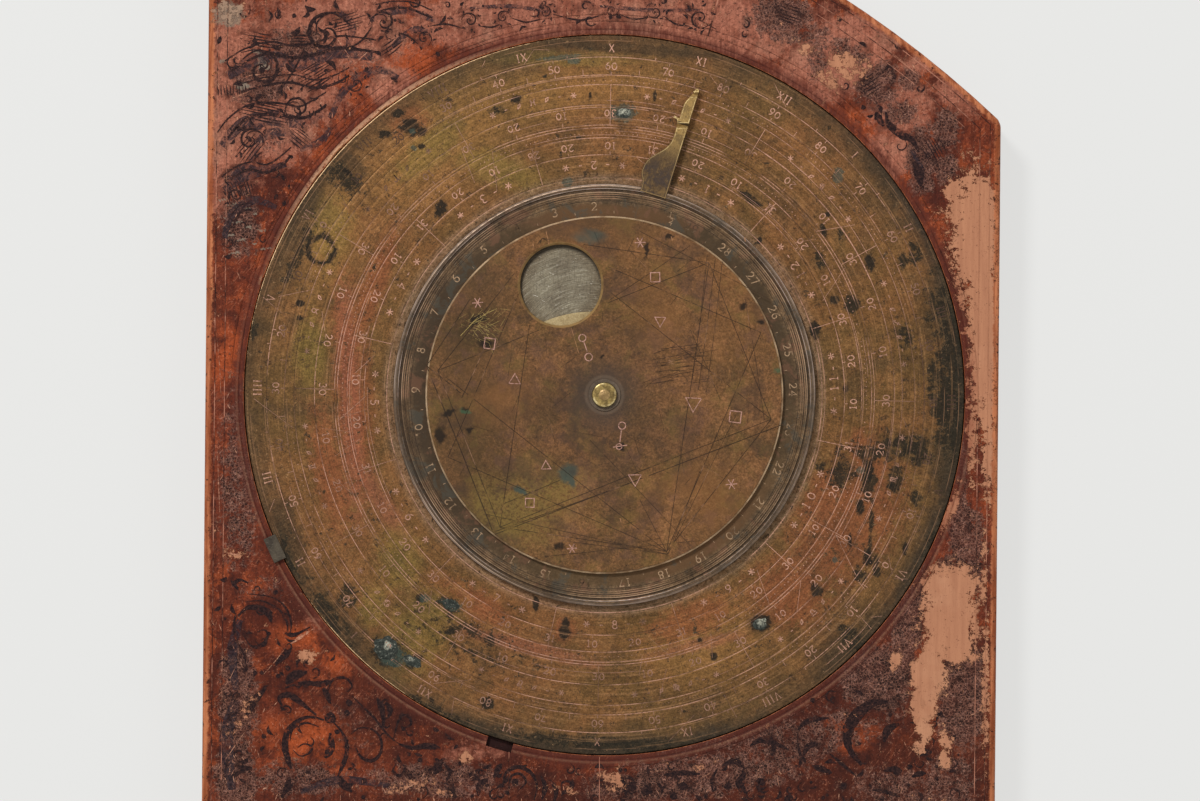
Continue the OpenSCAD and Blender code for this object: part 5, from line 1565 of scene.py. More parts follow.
def draw_scrolls():
    pen = Pen(BOARD_TOP, 0.015, 0.12)
    for rows in (LOWER_LEFT, BOTTOM):
        for points, width, peak in rows:
            brush(pen, points, width * 1.32, peak, smudge=0.6)
    for x, y, r in BERRIES:
        berry(pen, x, y, r)
    for x, y, r, turn, way in (
        (262, 70, 24, 200, 1), (326, 34, 26, -20, -1), (298, 108, 15, 120, 1), (250, 140, 15, 20, -1),
        (384, 22, 14, 150, 1), (424, 38, 9, 60, -1), (356, 84, 10, 220, -1), (236, 196, 10, 90, 1),
        (470, 20, 9, 180, 1), (503, 17, 8, 0, -1), (545, 12, 8, 200, 1), (612, 10, 7, 0, 1),
        (655, 12, 8, 200, -1), (700, 18, 12, 30, 1), (240, 884, 22, 200, 1), (330, 880, 30, -30, -1),
        (440, 872, 28, 200, 1), (545, 880, 30, -20, -1), (660, 880, 30, 200, 1), (770, 872, 30, -20, -1),
        (880, 880, 28, 200, 1), (954, 866, 15, 40, -1), (270, -60, 30, 30, 1), (370, -80, 34, 210, -1),
        (480, -70, 30, 0, 1), (590, -66, 26, 180, -1), (690, -40, 22, 10, 1), (262, -128, 16, 120, -1),
        (345, -140, 14, 40, 1),
    ):
        scroll(pen, x, y, r, turn, way)
    for points, width in (
        ([(282, 88), (296, 66), (306, 44)], 2.2), ([(346, 50), (362, 40), (372, 26)], 2.0),
        ([(395, 32), (408, 36), (418, 44)], 2.0), ([(430, 26), (446, 24), (462, 28)], 2.0),
        ([(480, 26), (492, 27), (500, 24)], 1.8), ([(512, 18), (526, 22), (540, 19)], 1.8),
        ([(553, 14), (580, 20), (604, 14)], 1.8), ([(619, 14), (634, 19), (648, 17)], 1.8),
        ([(664, 16), (676, 24), (690, 26)], 2.0), ([(262, 900), (285, 915), (304, 900)], 3.0),
        ([(360, 896), (385, 912), (414, 892)], 3.0), ([(468, 892), (490, 908), (516, 896)], 3.0),
        ([(575, 896), (600, 912), (632, 896)], 3.0), ([(690, 894), (715, 908), (742, 890)], 3.0),
        ([(800, 890), (825, 906), (854, 892)], 3.0), ([(296, -44), (318, -36), (338, -60)], 3.0),
        ([(404, -62), (424, -40), (452, -54)], 3.0), ([(510, -60), (536, -44), (566, -56)], 3.0),
        ([(614, -54), (640, -34), (668, -34)], 3.0),
    ):
        brush(pen, points, width, smudge=0.6)
    draw_panels(pen)
    scatter_leaves(pen)
    pen.piece("scrollwork", "ink", "board", "board_wood")
    wash = Pen(BOARD_TOP, 0.008, 0.12)
    for points, width in (
        ([(222, 146), (242, 124), (272, 118), (302, 122), (322, 112)], 15),
        ([(224, 190), (246, 176), (286, 164)], 10), ([(330, 118), (346, 88), (376, 70), (398, 78)], 9),
        ([(228, 76), (262, 58), (300, 62), (338, 52), (372, 56)], 15),
        ([(224, 238), (232, 214), (254, 200), (276, 208)], 9),
        ([(250, 160), (262, 138), (286, 132), (300, 146)], 9), ([(254, 128), (270, 116), (290, 118)], 13),
        ([(270, 66), (296, 60), (318, 70)], 11), ([(370, 20), (402, 10), (440, 22)], 8),
        ([(388, 50), (412, 30), (430, 32)], 6), ([(470, 8), (510, 6), (550, 12)], 4),
        ([(600, 6), (650, 10), (700, 10)], 4), ([(230, 180), (244, 168), (262, 172)], 8),
        ([(340, 12), (352, 26), (348, 44)], 8), ([(300, 150), (322, 140), (330, 128)], 7),
        ([(240, 620), (232, 650), (236, 690)], 10), ([(236, 700), (226, 740), (232, 790)], 14),
        ([(300, 792), (340, 780), (390, 786)], 8), ([(912, 150), (920, 166), (924, 182)], 6),
    ):
        brush(wash, points, width, 0.5, 0.6, 0.3)
    wash.piece("ink_wash", "wash", "board", "board_wood")


def scribe_border():
    """Border lines: two along each straight edge and two that follow the limb."""
    pen = Pen(BOARD_TOP, 0.012, 0.12)
    low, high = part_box("quadrant_board")
    left, right, bottom = low.x / MM, high.x / MM, low.y / MM
    for inset in (1.9, 3.9):
        limb = LIMB_R - inset
        sides = (left + inset, right - inset - 0.3)
        foot = bottom + inset
        for x in sides:
            up = APEX[1] + math.sqrt(limb ** 2 - (x - APEX[0]) ** 2)
            steps = 60
            line = [(x + rng.uniform(-0.03, 0.03), foot + (up - foot) * k / steps) for k in range(steps + 1)]
            pen.stroke(line, 0.17)
        pen.stroke([(sides[0], foot), (sides[1], foot)], 0.17)
        first, last = (math.degrees(math.asin((x - APEX[0]) / limb)) for x in sides)
        pen.circle(APEX, limb, 0.17, first, last, 0.5)
    pen.circle(APEX, 209.2, 0.14, 3, 42, 0.5)
    for x0, y0, x1, y1, width in (
        (599.5, 757, 598.5, 958, 0.15), (509, 752, 508.5, 800, 0.1), (572, 0, 571, 32, 0.1),
        (682, 10, 716, 29, 0.2), (718, 0, 708, 36, 0.3),
    ):
        pen.stroke([at(x0, y0), at(x1, y1)], width)
    pen.piece("border_lines", "scribe", "board", "board_wood")


def scratch_wood():
    """Long pale scratches through the varnish."""
    pen = Pen(BOARD_TOP, 0.012, 0.12)
    for x0, y0, x1, y1, width in (
        (508, 798, 556, 757, 0.7), (514, 799, 560, 760, 0.5), (502, 796, 545, 758, 0.4),
        (313, 629, 289, 645, 3.6), (286, 647, 262, 676, 0.8), (225, 760, 246, 730, 0.9),
        (222, 690, 235, 668, 0.8), (262, 790, 272, 784, 2.4), (400, 792, 430, 776, 1.0),
        (640, 772, 676, 770, 0.7), (968, 716, 980, 712, 0.8), (240, 555, 226, 553, 2.6),
        (246, 76, 262, 74, 1.6), (232, 98, 248, 92, 1.8), (262, 44, 252, 48, 1.4),
        (880, 44, 916, 72, 0.5), (842, 30, 872, 46, 0.5), (350, 160, 336, 176, 1.0),
        (216, 330, 221, 400, 0.6), (217, 440, 220, 520, 0.8), (700, 778, 712, 772, 0.8),
        (780, 790, 776, 770, 0.6), (326, 24, 352, 60, 0.8), (352, 66, 372, 48, 1.0),
    ):
        half_way = ((x0 + x1) / 2 + rng.uniform(-1, 1), (y0 + y1) / 2)
        brush(pen, [(x0, y0), half_way, (x1, y1)], width, 0.5, 0.15)
    fields = (
        (340, 480, 765, 801, 60), (860, 930, 740, 801, 30), (207, 240, 60, 790, 70), (780, 960, 10, 130, 50),
        (240, 420, 0, 160, 60), (460, 880, 765, 801, 70), (214, 300, 690, 801, 60), (440, 760, 0, 30, 40),
    )
    for x0, x1, y0, y1, count in fields:
        for _ in range(count):
            x, y = rng.uniform(x0, x1), rng.uniform(y0, y1)
            run, lean = rng.uniform(2, 8), rng.uniform(-4, 4)
            line = [(x, y), (x + lean / 2, y + run / 2), (x + lean, y + run)]
            brush(pen, line, rng.uniform(0.3, 1.1), 0.5, 0.15)
    pen.piece("wood_scratches", "bare_scratch", "board", "board_wood")


draw_scrolls()
scribe_border()
scratch_wood()


def smudges(x, y, wanted):
    """How much ink has spread round the strokes, at the wanted object places x and y."""
    tree = kdtree.KDTree(len(INKED))
    for i, (px, py, reach) in enumerate(INKED):
        tree.insert((px, py, 0), i)
    tree.balance()
    found = np.zeros(len(x))
    for i in np.nonzero(wanted)[0]:
        _, index, away = tree.find((x[i], y[i], 0))
        reach = INKED[index][2] + 0.5
        found[i] = math.exp(-(away / reach) ** 2)
    return found


# Board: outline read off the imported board, then a dressed body inside it
N = 1440
WALL_LEVEL = 4.0
FLOOR_INNER_R = 55.0
LIP_R = 72.6
LOWER_LIP_R = 73.62
EDGE = 1.0
RECESS_R = 72.12
FLOOR_Z = 10.64
FRONT = 0.04
NOTCH_DEGS = (244.5, 196.2)
NOTCH = (71.4, 74.03, 2.63, 10.95)
BUSH_R = 1.73
CUT_TOP = 13.0
# Broken places of the recess rim: direction, half width in degrees, depth
CHIPS = ((321.5, 1.4, 0.9), (312.0, 2.6, 0.8), (306.5, 1.2, 0.5), (288, 1.0, 0.6), (236, 1.0, 0.4))


def cad_outline(level):
    """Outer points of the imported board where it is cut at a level, in N directions."""
    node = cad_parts["quadrant_board"]
    mesh = node.data
    mesh.calc_loop_triangles()
    points = [v.co / MM for v in mesh.vertices]
    cuts = []
    for tri in mesh.loop_triangles:
        corners = [points[i] for i in tri.vertices]
        found = []
        for i in range(3):
            a, b = corners[i], corners[(i + 1) % 3]
            if (a.z - level) * (b.z - level) < 0:
                q = a.lerp(b, (level - a.z) / (b.z - a.z))
                found.append((q.x, q.y))
        if len(found) == 2:
            cuts.append(found)
    cuts = np.array(cuts)
    best = np.zeros(N)
    for i in range(N):
        t = math.tau * i / N
        way = np.array((math.sin(t), math.cos(t)))
        p, q = cuts[:, 0], cuts[:, 1]
        d = q - p
        det = way[0] * -d[:, 1] + way[1] * d[:, 0]
        det = np.where(np.abs(det) < 1e-12, 1e-12, det)
        along = (p[:, 0] * -d[:, 1] + p[:, 1] * d[:, 0]) / det
        share = (way[0] * p[:, 1] - way[1] * p[:, 0]) / det
        hit = (share >= -1e-9) & (share <= 1 + 1e-9) & (along > 0)
        best[i] = along[hit].max()
    return best


# Wood that is bare, darkened, rubbed and grey, as rows for px_ellipses
BARE = [
    (951, 588, 29, 25), (948, 620, 30, 32), (951, 644, 27, 22), (928, 674, 18, 30, 10),
    (924, 700, 14, 24), (924, 730, 9, 14, 0, 0.9), (895, 660, 6, 10, 20, 0.8), (946, 750, 7, 20, 0, 0.75),
    (978, 240, 26, 70), (985, 330, 18, 90), (990, 430, 9, 70, 0, 0.9), (962, 205, 18, 26, 0, 0.85),
    (846, 66, 20, 12, 30, 0.75), (612, 781, 12, 13, 0, 0.62), (234, 554, 12, 5, 8, 0.75),
    (308, 656, 9, 10, 0, 0.72), (228, 12, 16, 14, 0, 0.7), (986, 690, 5, 80, 0, 0.6),
    (880, -60, 30, 40, 0, 0.7), (300, -110, 60, 30, 20, 0.5), (930, 850, 30, 40, 10, 0.7),
    (720, 900, 50, 20, 0, 0.5), (250, 900, 20, 40, 0, 0.5), (830, 80, 16, 10, 30, 0.62),
    (806, 48, 14, 8, 20, 0.5), (868, 66, 10, 6, 30, 0.5), (466, 757, 9, 6, 0, 0.6),
    (972, 430, 6, 60, 0, 0.7), (960, 190, 14, 14, 0, 0.8), (920, 745, 8, 8, 0, 0.7),
    (245, 712, 7, 26, 35, 0.45), (415, 790, 30, 10, 0, 0.38), (700, 767, 10, 5, 0, 0.4),
    (560, 790, 24, 8, 0, 0.3), (951, 508, 5, 30, 22, 0.7), (984, 576, 4, 44, 0, 0.62),
]
DARK = [
    (914, 600, 12, 60, 0, 0.95), (962, 690, 26, 60), (975, 560, 14, 50, 0, 0.7),
    (880, 680, 40, 34, 0, 0.95), (800, 740, 110, 30, -14, 0.55), (700, 776, 110, 24, -6, 0.7),
    (640, 786, 70, 20, 0, 0.62), (783, 16, 34, 24, 0, 0.75), (878, 84, 24, 26, 0, 0.75),
    (818, 60, 14, 24, 0, 0.6), (910, 80, 14, 12, 0, 0.7), (922, 160, 16, 36, 0, 0.85),
    (945, 130, 16, 26, 0, 0.7), (945, 168, 16, 18, 0, 0.7), (262, 84, 34, 22, -8, 0.7),
    (270, 140, 24, 20, 0, 0.4), (300, 44, 40, 20, 0, 0.6), (236, 190, 18, 34, 0, 0.45),
    (238, 700, 20, 60, 0, 0.85), (350, 716, 40, 26, 20, 0.3), (236, 780, 22, 34, 0, 0.95),
    (360, 60, 24, 30, 0, 0.4), (300, 780, 60, 20, 0, 0.62), (360, 730, 34, 34, 0, 0.3),
    (440, 780, 80, 20, 0, 0.66), (240, 480, 24, 100, 0, 0.58), (600, 900, 200, 50, 0, 0.5),
    (350, 880, 80, 50, 0, 0.55), (880, 880, 60, 60, 0, 0.6), (420, -60, 120, 50, 0, 0.5),
    (760, -80, 90, 40, 20, 0.55), (962, 470, 7, 60, 0, 0.6), (900, 790, 60, 26, 0, 0.55),
    (950, 780, 30, 40, 0, 0.6), (240, 410, 14, 40, 0, 0.45), (240, 226, 22, 34, 0, 0.7),
    (962, 535, 13, 36), (946, 572, 10, 18, 0, 0.9), (850, 54, 30, 14, 30, 0.6),
    (902, 112, 20, 16, 0, 0.65), (790, 30, 50, 18, 10, 0.6), (905, 640, 14, 60, 0, 0.85),
    (700, 745, 60, 10, -8, 0.5), (262, 590, 30, 16, 0, 0.4),
]
RUBBED = [
    (392, 88, 24, 22, -40, 0.9), (890, 155, 24, 24, 0, 0.9), (620, 16, 200, 24, 0, 0.95),
    (470, 20, 60, 26, 0, 0.95), (740, 30, 60, 26, 10, 0.95), (225, 470, 14, 150, 0, 0.25),
    (960, 90, 30, 30, 0, 0.6), (836, 58, 70, 34, -30), (330, 610, 30, 16, -40, 0.5),
    (480, 750, 60, 12, -12, 0.45), (236, 60, 40, 70, 0, 0.6), (900, 110, 40, 40, 0, 0.6),
    (340, 30, 80, 40, 0, 0.8), (240, 100, 34, 90, 0, 0.8), (300, 90, 50, 50, 0, 0.6),
    (700, 772, 90, 10, 0, 0.4), (925, 60, 40, 12, -35, 0.7), (230, 140, 20, 60, 0, 0.6),
    (280, 136, 36, 30, 0, 0.75), (217, 168, 14, 44, 0, 0.95),
]
GREY = [
    (228, 14, 16, 14, 0, 0.6), (258, 51, 8, 3, 0, 0.5), (265, 67, 9, 4, 0, 0.5), (242, 86, 9, 4, 0, 0.5),
    (293, 60, 6, 3, 0, 0.45), (222, 61, 5, 3, 0, 0.5),
] + [(222 + 11 * (k % 4) + k, 200 + 4.4 * k, 7, 1.1, -12 + 3 * (k % 3), 0.56) for k in range(13)]
# Turned grooves round the recess: radius, half width, first and last direction
GROOVES = [
    (73.15, 0.17, 0, 360), (74.75, 0.13, -86, 100), (74.1, 0.1, -74, -8), (76.1, 0.12, -56, 46),
    (74.5, 0.14, 100, 200),
]


def rough(x, y, size, seed):
    """Noise from -1 to 1 at a place."""
    return noise.noise((x / size + seed, y / size - seed, seed * 0.37))


def groove_share(deg, start, stop):
    """How strongly a groove is cut at a direction: full inside its reach, fading at the ends."""
    if stop - start >= 360:
        return 1.0
    deg = (deg + 180) % 360 - 180
    inside = min(deg - start, stop - deg)
    return max(0.0, min(1.0, inside / 6 + 0.5))


def board_points():
    """Rings of points from the middle of the recess over the top, down the wall and over the front face."""
    reach = cad_outline(WALL_LEVEL)
    degs = [360 * i / N for i in range(N)]
    wall = np.array([around((0, 0), r, d) for r, d in zip(reach, degs)])
    along = np.roll(wall, -3, axis=0) - np.roll(wall, 3, axis=0)
    normal = np.stack([-along[:, 1], along[:, 0]], axis=1)
    normal /= np.linalg.norm(normal, axis=1)[:, None]
    way = np.stack([np.sin(np.radians(degs)), np.cos(np.radians(degs))], axis=1)
    flip = np.sign((normal * way).sum(axis=1))
    normal *= flip[:, None]

    wear = np.zeros(N)
    for i, (x, y) in enumerate(wall):
        slow = rough(x, y, 9, 3)
        quick = rough(x, y, 1.6, 8)
        wear[i] = 0.10 + 0.10 * slow + max(0.0, quick - 0.28) * 0.9
    wear = np.clip(wear, 0.0, 0.5)

    rings = []

    def circle_ring(r, z):
        rings.append(np.column_stack([way * np.reshape(r, (-1, 1)), np.broadcast_to(z, (N,))]))

    def edge_ring(inset, z):
        rings.append(np.column_stack([wall - normal * np.reshape(inset, (-1, 1)), np.broadcast_to(z, (N,))]))

    circle_ring(np.full(N, FLOOR_INNER_R), FLOOR_Z)
    circle_ring(np.full(N, RECESS_R), FLOOR_Z)
    chip = np.zeros(N)
    for i, d in enumerate(degs):
        for centre, half, deep in CHIPS:
            off = abs((d - centre + 180) % 360 - 180) / half
            if off < 1:
                chip[i] = max(chip[i], deep * (1 - off ** 2) * (0.7 + 0.5 * rough(d * 2, 0, 1, 5)))
        chip[i] += max(0.0, rough(d * 1.3, 4, 1, 2) - 0.35) * 0.5
    chip = np.clip(chip, 0, 1.0)
    circle_ring(np.full(N, RECESS_R), BOARD_TOP - 0.25 - chip * 0.7)
    circle_ring(RECESS_R + 0.06 + chip * 0.3, BOARD_TOP - 0.08 - chip * 0.35)
    circle_ring(RECESS_R + 0.2 + chip * 0.35, BOARD_TOP - 0.02 - chip * 0.1)
    stations = set()
    for r, half, start, stop in GROOVES:
        stations.update((r - half, r, r + half))
    stations.update((73.5, 74.5, 75.4, 76.3, 77.4, 78.6))
    for r in sorted(stations):
        z = np.full(N, BOARD_TOP)
        for centre, half, start, stop in GROOVES:
            if abs(centre - r) < 1e-6:
                z = z - np.array([0.12 * groove_share(d, start, stop) for d in degs])
        circle_ring(np.maximum(np.full(N, r), RECESS_R + 0.22 + chip * 0.4), z)
    last = rings[-1][:, :2]
    inner = wall - normal * (EDGE + wear)[:, None]
    spans = 84
    for k in range(1, spans):
        spot = last + (inner - last) * (k / spans)
        rings.append(np.column_stack([spot, np.full(N, BOARD_TOP)]))
    bend = 5
    for k in range(bend + 1):
        t = math.radians(90 * k / bend)
        inset = (EDGE + wear) * (1 - math.sin(t))
        drop = (EDGE + wear * 0.6) * (1 - math.cos(t))
        edge_ring(inset, BOARD_TOP - drop)
    for z in (9.0, 7.0, 5.0, 3.0):
        dents = np.array([max(0.0, rough(x, y, 2.5, z) - 0.3) * 0.3 for x, y in wall])
        edge_ring(dents, z)
    for k in range(bend + 1):
        t = math.radians(90 * k / bend)
        inset = (EDGE + wear) * (1 - math.cos(t))
        drop = (EDGE + wear * 0.6) * (1 - math.sin(t))
        edge_ring(inset, drop)
    under = wall - normal * (EDGE + wear)[:, None]
    for k in range(1, 24):
        rings.append(np.column_stack([under * (1 - k / 24.5), np.full(N, FRONT)]))
    return rings


def dress_board():
    rings = board_points()
    verts = np.concatenate(rings)
    faces = ring_faces(len(rings), N)
    top = np.abs(verts[:, 2] - BOARD_TOP) < 0.01
    for i in np.nonzero(top)[0]:
        x, y = verts[i, :2]
        verts[i, 2] -= 0.03 + 0.03 * rough(x, y, 3.5, 11)
    board = make("dressed_board", [tuple(v) for v in verts], faces, "wood", "board", 42)
    cutters = []
    inner, outer, half, floor = NOTCH
    for deg in NOTCH_DEGS:
        t = math.radians(deg)
        out, side = Vector((math.sin(t), math.cos(t), 0)), Vector((math.cos(t), -math.sin(t), 0))
        ends = ((inner, -half), (inner, half), (outer, half), (outer, -half))
        spots = [out * r + side * s for r, s in ends]
        cutters.append(([(q.x, q.y) for q in spots], floor))
    cutters.append((oval(APEX, BUSH_R, BUSH_R, 40), -1.0))
    for i, (ring, low) in enumerate(cutters):
        pen = Pen(0)
        pen.high, pen.low = CUT_TOP, low
        pen.patch(ring)
        tool = pen.piece(f"cutter_{i}", "wood", "board", "board_wood")
        step = board.modifiers.new("cut", "BOOLEAN")
        step.operation = "DIFFERENCE"
        step.solver = "EXACT"
        step.object = tool
        bpy.context.view_layer.objects.active = board
        bpy.ops.object.modifier_apply(modifier=step.name)
        bpy.data.objects.remove(tool)
    return board


def wood_fields(x, y, on_top=1.0, front=0.0):
    """Where the varnish is bare, dark, rubbed or grey, at object places x and y."""
    return {
        "bare": px_ellipses(x, y, BARE) * on_top,
        "dark": px_ellipses(x, y, DARK) * on_top + 0.2 * front,
        "rubbed": px_ellipses(x, y, RUBBED) * on_top,
        "grey": px_ellipses(x, y, GREY) * on_top,
    }


def paint_fields(board):
    """Writes the state of the wood into the board's points."""
    x, y, z = places(board)
    r = np.hypot(x, y)
    deg = np.degrees(np.arctan2(x, y)) % 360
    on_top = z > BOARD_TOP - 0.5
    front = z < 0.5
    side_left = x - x.min()
    side_right = x.max() - x
    limb = LIMB_R - np.hypot(x - APEX[0], y - APEX[1])
    foot = y - y.min()
    inside = np.minimum(np.minimum(side_left, side_right), np.minimum(np.abs(limb), foot))
    fields = wood_fields(x, y, on_top, front)
    fields["edge"] = np.clip(1.15 - inside / 2.3, 0, 1) * np.where(z < 9, 0.62, 1)
    rim = np.clip((RECESS_R + 0.3 - r) / 0.25, 0, 1) * on_top * (r > RECESS_R - 0.5)
    fields["edge"] = np.maximum(fields["edge"], rim * 0.8)
    groove = np.zeros_like(x)
    for centre, half, start, stop in GROOVES:
        share = np.array([groove_share(d, start, stop) for d in deg])
        groove = np.maximum(groove, np.clip(1 - np.abs(r - centre) / (half * 1.1), 0, 1) * share)
    uneven = np.array([0.62 + 0.75 * rough(a, b, 7, 21) for a, b in zip(x, y)])
    groove *= np.clip(uneven, 0.1, 1)
    # Painted shade in the recess wall and floor and in the notches, added to the groove field
    groove = np.maximum(groove, (z < BOARD_TOP - 0.6) * (r < RECESS_R + 2.2) * (z > 10) * 2.4)
    fields["groove"] = groove
    signed = (deg + 180) % 360 - 180
    north_west = np.clip(1.2 - np.abs(signed + 42) / 34, 0, 1)
    south = np.clip(1.3 - np.abs(np.abs(signed) - 140) / 60, 0, 1)
    # Pale lip round the recess: bare wood and painted highlight, weighted to the upper left and the lower
    # side
    bare_lip_and_highlight = np.clip(1 - np.abs(r - LIP_R) / (0.2 + 0.34 * north_west), 0, 1) * on_top
    bare_lip_and_highlight *= 0.3 + 1.2 * north_west + 0.5 * south
    bare_lip_and_highlight = np.maximum(bare_lip_and_highlight, np.clip(1 - np.abs(r - LOWER_LIP_R) / 0.16, 0, 1) * on_top * south * 0.7)
    fields["bare_lip_and_highlight"] = np.clip(bare_lip_and_highlight, 0, 1)
    fields["smudge"] = smudges(x, y, on_top)
    write_fields(board, fields)


# Front face: limb scale, date arcs, hour lines, shadow square and an empty cartouche
BORDER = (-76.0, 75.0)
CORNERS = (-79.9, 78.9, -112.8)
SCALE_FOOT = 200.2
NUMBERS_R = 208.6
TICKS = (206.4, 203.4, 202.0)
ARCS = (
    (212.6, 0.3), (210.8, 0.16), (206.4, 0.16), (SCALE_FOOT, 0.3), (199.2, 0.16), (188, 0.16), (170, 0.16),
    (152, 0.16), (134, 0.16), (116, 0.16), (98, 0.3), (96.8, 0.16),
)
HOUR_FOOT = 98
SQUARE = 56
CARTOUCHE = (34.0, -62.0)


def limb_at(r, deg):
    return around(APEX, r, deg)


def from_apex(x, y):
    return (APEX[0] + x, APEX[1] + y)


def front_number(pen, text, place, up, size, width):
    """A number that reads the right way from the front."""
    up = Vector(up).normalized()
    right = Vector((-up.y, up.x))
    total = sum(GLYPHS[c][0] + 0.3 for c in text) - 0.3
    run = -total / 2
    for c in text:
        wide = GLYPHS[c][0]
        spot = Vector(place) + right * ((run + wide / 2) * size)
        sign(pen, c, spot, up, size, width, True)
        run += wide + 0.3


def reach_of(r):
    """Directions between which an arc about the apex stays inside the border."""
    low, high = ((x - APEX[0]) / r for x in BORDER)
    return math.degrees(math.asin(max(-1, low))), math.degrees(math.asin(min(1, high)))


def draw_front():
    pen = Pen(0)
    pen.high, pen.low = 0.12, 0.012
    for r, width in ARCS:
        first, last = reach_of(r)
        pen.circle(APEX, r, width, max(first, -1.2) if r < 200 else first, min(last, 45.5), 0.5)
    for step in range(0, 83):
        deg = step / 2
        top = TICKS[0] if step % 10 == 0 else TICKS[1] if step % 2 == 0 else TICKS[2]
        if limb_at(top, deg)[0] < BORDER[1]:
            pen.stroke([limb_at(SCALE_FOOT, deg), limb_at(top, deg)], 0.16)
        if step % 10 == 0 and limb_at(209, deg)[0] < 73 and step:
            up = (-math.sin(math.radians(deg)), -math.cos(math.radians(deg)))
            front_number(pen, str(step // 2), limb_at(NUMBERS_R, deg), up, 2.6, 0.26)
    for k in range(6):
        line = []
        for i in range(25):
            share = i / 24
            deg = 3 + 6.4 * k * (0.55 + 0.45 * share ** 1.4) + 2.2 * math.sin(share * math.pi)
            line.append(limb_at(HOUR_FOOT + 101 * share, deg))
        line = [q for q in line if q[0] < 74]
        if len(line) > 2:
            pen.stroke(line, 0.26)
            front_number(pen, str(6 - k), (line[0][0], line[0][1] - 4), (0, -1), 3.0, 0.3)
    for side in (SQUARE, 50.0):
        pen.stroke([from_apex(side, 0), from_apex(side, side), from_apex(0, side)], 0.24)
    for k in range(1, 13):
        run = SQUARE * k / 12
        long = 50.0 if k % 3 == 0 else 53.0
        pen.stroke([from_apex(run, SQUARE), from_apex(run * long / SQUARE, long)], 0.16)
        pen.stroke([from_apex(SQUARE, run), from_apex(long, run * long / SQUARE)], 0.16)
        if k % 3 == 0 and k < 12:
            front_number(pen, str(k), from_apex(run * 0.83, 46.5), (0, -1), 2.6, 0.26)
            front_number(pen, str(k), from_apex(46.5, run * 0.83), (0, -1), 2.6, 0.26)
    left, right, bottom = CORNERS
    for inset in (2.4, 4.2):
        corners = [(left, 108 - inset), (left, bottom + inset), (right, bottom + inset), (right, 50 - inset)]
        pen.stroke([(x - math.copysign(inset, x), y) for x, y in corners], 0.22)
    for wide, high, width in ((34, 21, 0.5), (31.5, 18.6, 0.22)):
        pen.stroke(oval(CARTOUCHE, wide, high, 80), width, True)
    for way in (-1, 1):
        for lift in (-1, 1):
            for r, turns, across, up in ((5.5, 1.3, 31, 21), (3.6, 1.1, 12, 25.5)):
                spot = (CARTOUCHE[0] + way * across, CARTOUCHE[1] + lift * up)
                line = []
                for k in range(34):
                    share = k / 33
                    a = math.radians(90 * lift + way * lift * 360 * turns * share)
                    reach = r * (1 - 0.82 * share ** 0.8)
                    line.append((spot[0] + reach * math.cos(a), spot[1] + reach * math.sin(a)))
                widths = [0.25 + 0.9 * math.sin(math.pi * min(1, k / 24)) for k in range(34)]
                pen.stroke(line, widths)
    pen.piece("front_drawing", "front_line", "board", "board_wood")


draw_front()
dressed = dress_board()
paint_fields(dressed)
for name in ("scrollwork", "ink_wash", "border_lines", "wood_scratches"):
    drawn = bpy.data.objects[name]
    write_fields(drawn, wood_fields(*places(drawn)[:2]))
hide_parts("quadrant_board")


# CAD nodes that stay, with their materials
NODE_FINISH = {
    "plate_clip": ("clip", "clip_metal"),
    "sun_disc": ("sun", "disc_brass"),
    "sun_pointer": ("pointer", "pointer_brass"),
    "phase_silver": ("silver", "silver"),
    "phase_gilt": ("gilt", "gilt"),
    "moon_disc": ("moon", "disc_brass"),
    "pivot_arbor": ("arbor", "pivot_brass"),
    "pivot_washer": ("washer", "washer_steel"),
    "pivot_collar": ("collar", "pivot_brass"),
    "plumb_bush": ("fitting", "fitting_brass"),
    "eye_sight": ("fitting", "fitting_brass"),
    "far_sight": ("fitting", "fitting_brass"),
    "eye_sight_pins": ("fitting", "fitting_brass"),
    "far_sight_pins": ("fitting", "fitting_brass"),
}
for name, (material, slot) in NODE_FINISH.items():
    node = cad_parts[name]
    node.data.materials.clear()
    node.data.materials.append(MATERIALS[material])
for name, width in (("sun_pointer", 0.16), ("plate_clip", 0.12), ("eye_sight", 0.14), ("far_sight", 0.14)):
    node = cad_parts[name]
    weld = node.modifiers.new("weld", "WELD")
    weld.merge_threshold = 1e-6
    bevel = node.modifiers.new("worn_edges", "BEVEL")
    bevel.width = width * MM
    bevel.segments = 2
    bevel.limit_method = "ANGLE"
    bevel.angle_limit = math.radians(35)


# Bright strip along the pointer's top outline: painted highlight of the bevelled edge, and worn brass
def edge_lines(node, level, inset, width):
    """Thin strips along the outline of a node's top face."""
    tool = bmesh.new()
    tool.from_mesh(node.data)
    bmesh.ops.remove_doubles(tool, verts=tool.verts, dist=1e-6)
    tops = [f for f in tool.faces if all(abs(v.co.z / MM - level) < 0.01 for v in f.verts)]
    count = {}
    for face in tops:
        for edge in face.edges:
            count[edge] = count.get(edge, 0) + 1
    pen = Pen(level, 0.012, 0.03)
    for edge, uses in count.items():
        if uses != 1 or edge.calc_length() < 1e-5:
            continue
        face = [f for f in edge.link_faces if f in tops][0]
        middle = face.calc_center_median() / MM
        a, b = edge.verts[0].co / MM, edge.verts[1].co / MM
        run = (b - a).normalized()
        side = Vector((-run.y, run.x, 0))
        if side.dot(middle - a) < 0:
            side.negate()
        a, b = a + side * inset, b + side * inset
        pen.stroke([(a.x, a.y), (b.x, b.y)], width)
    tool.free()
    return pen


pointer_rim = edge_lines(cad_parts["sun_pointer"], top_of("sun_pointer"), 0.16, 0.14)
pointer_rim.piece("pointer_edge_highlight", "pointer_edge", "sun", "pointer_brass")


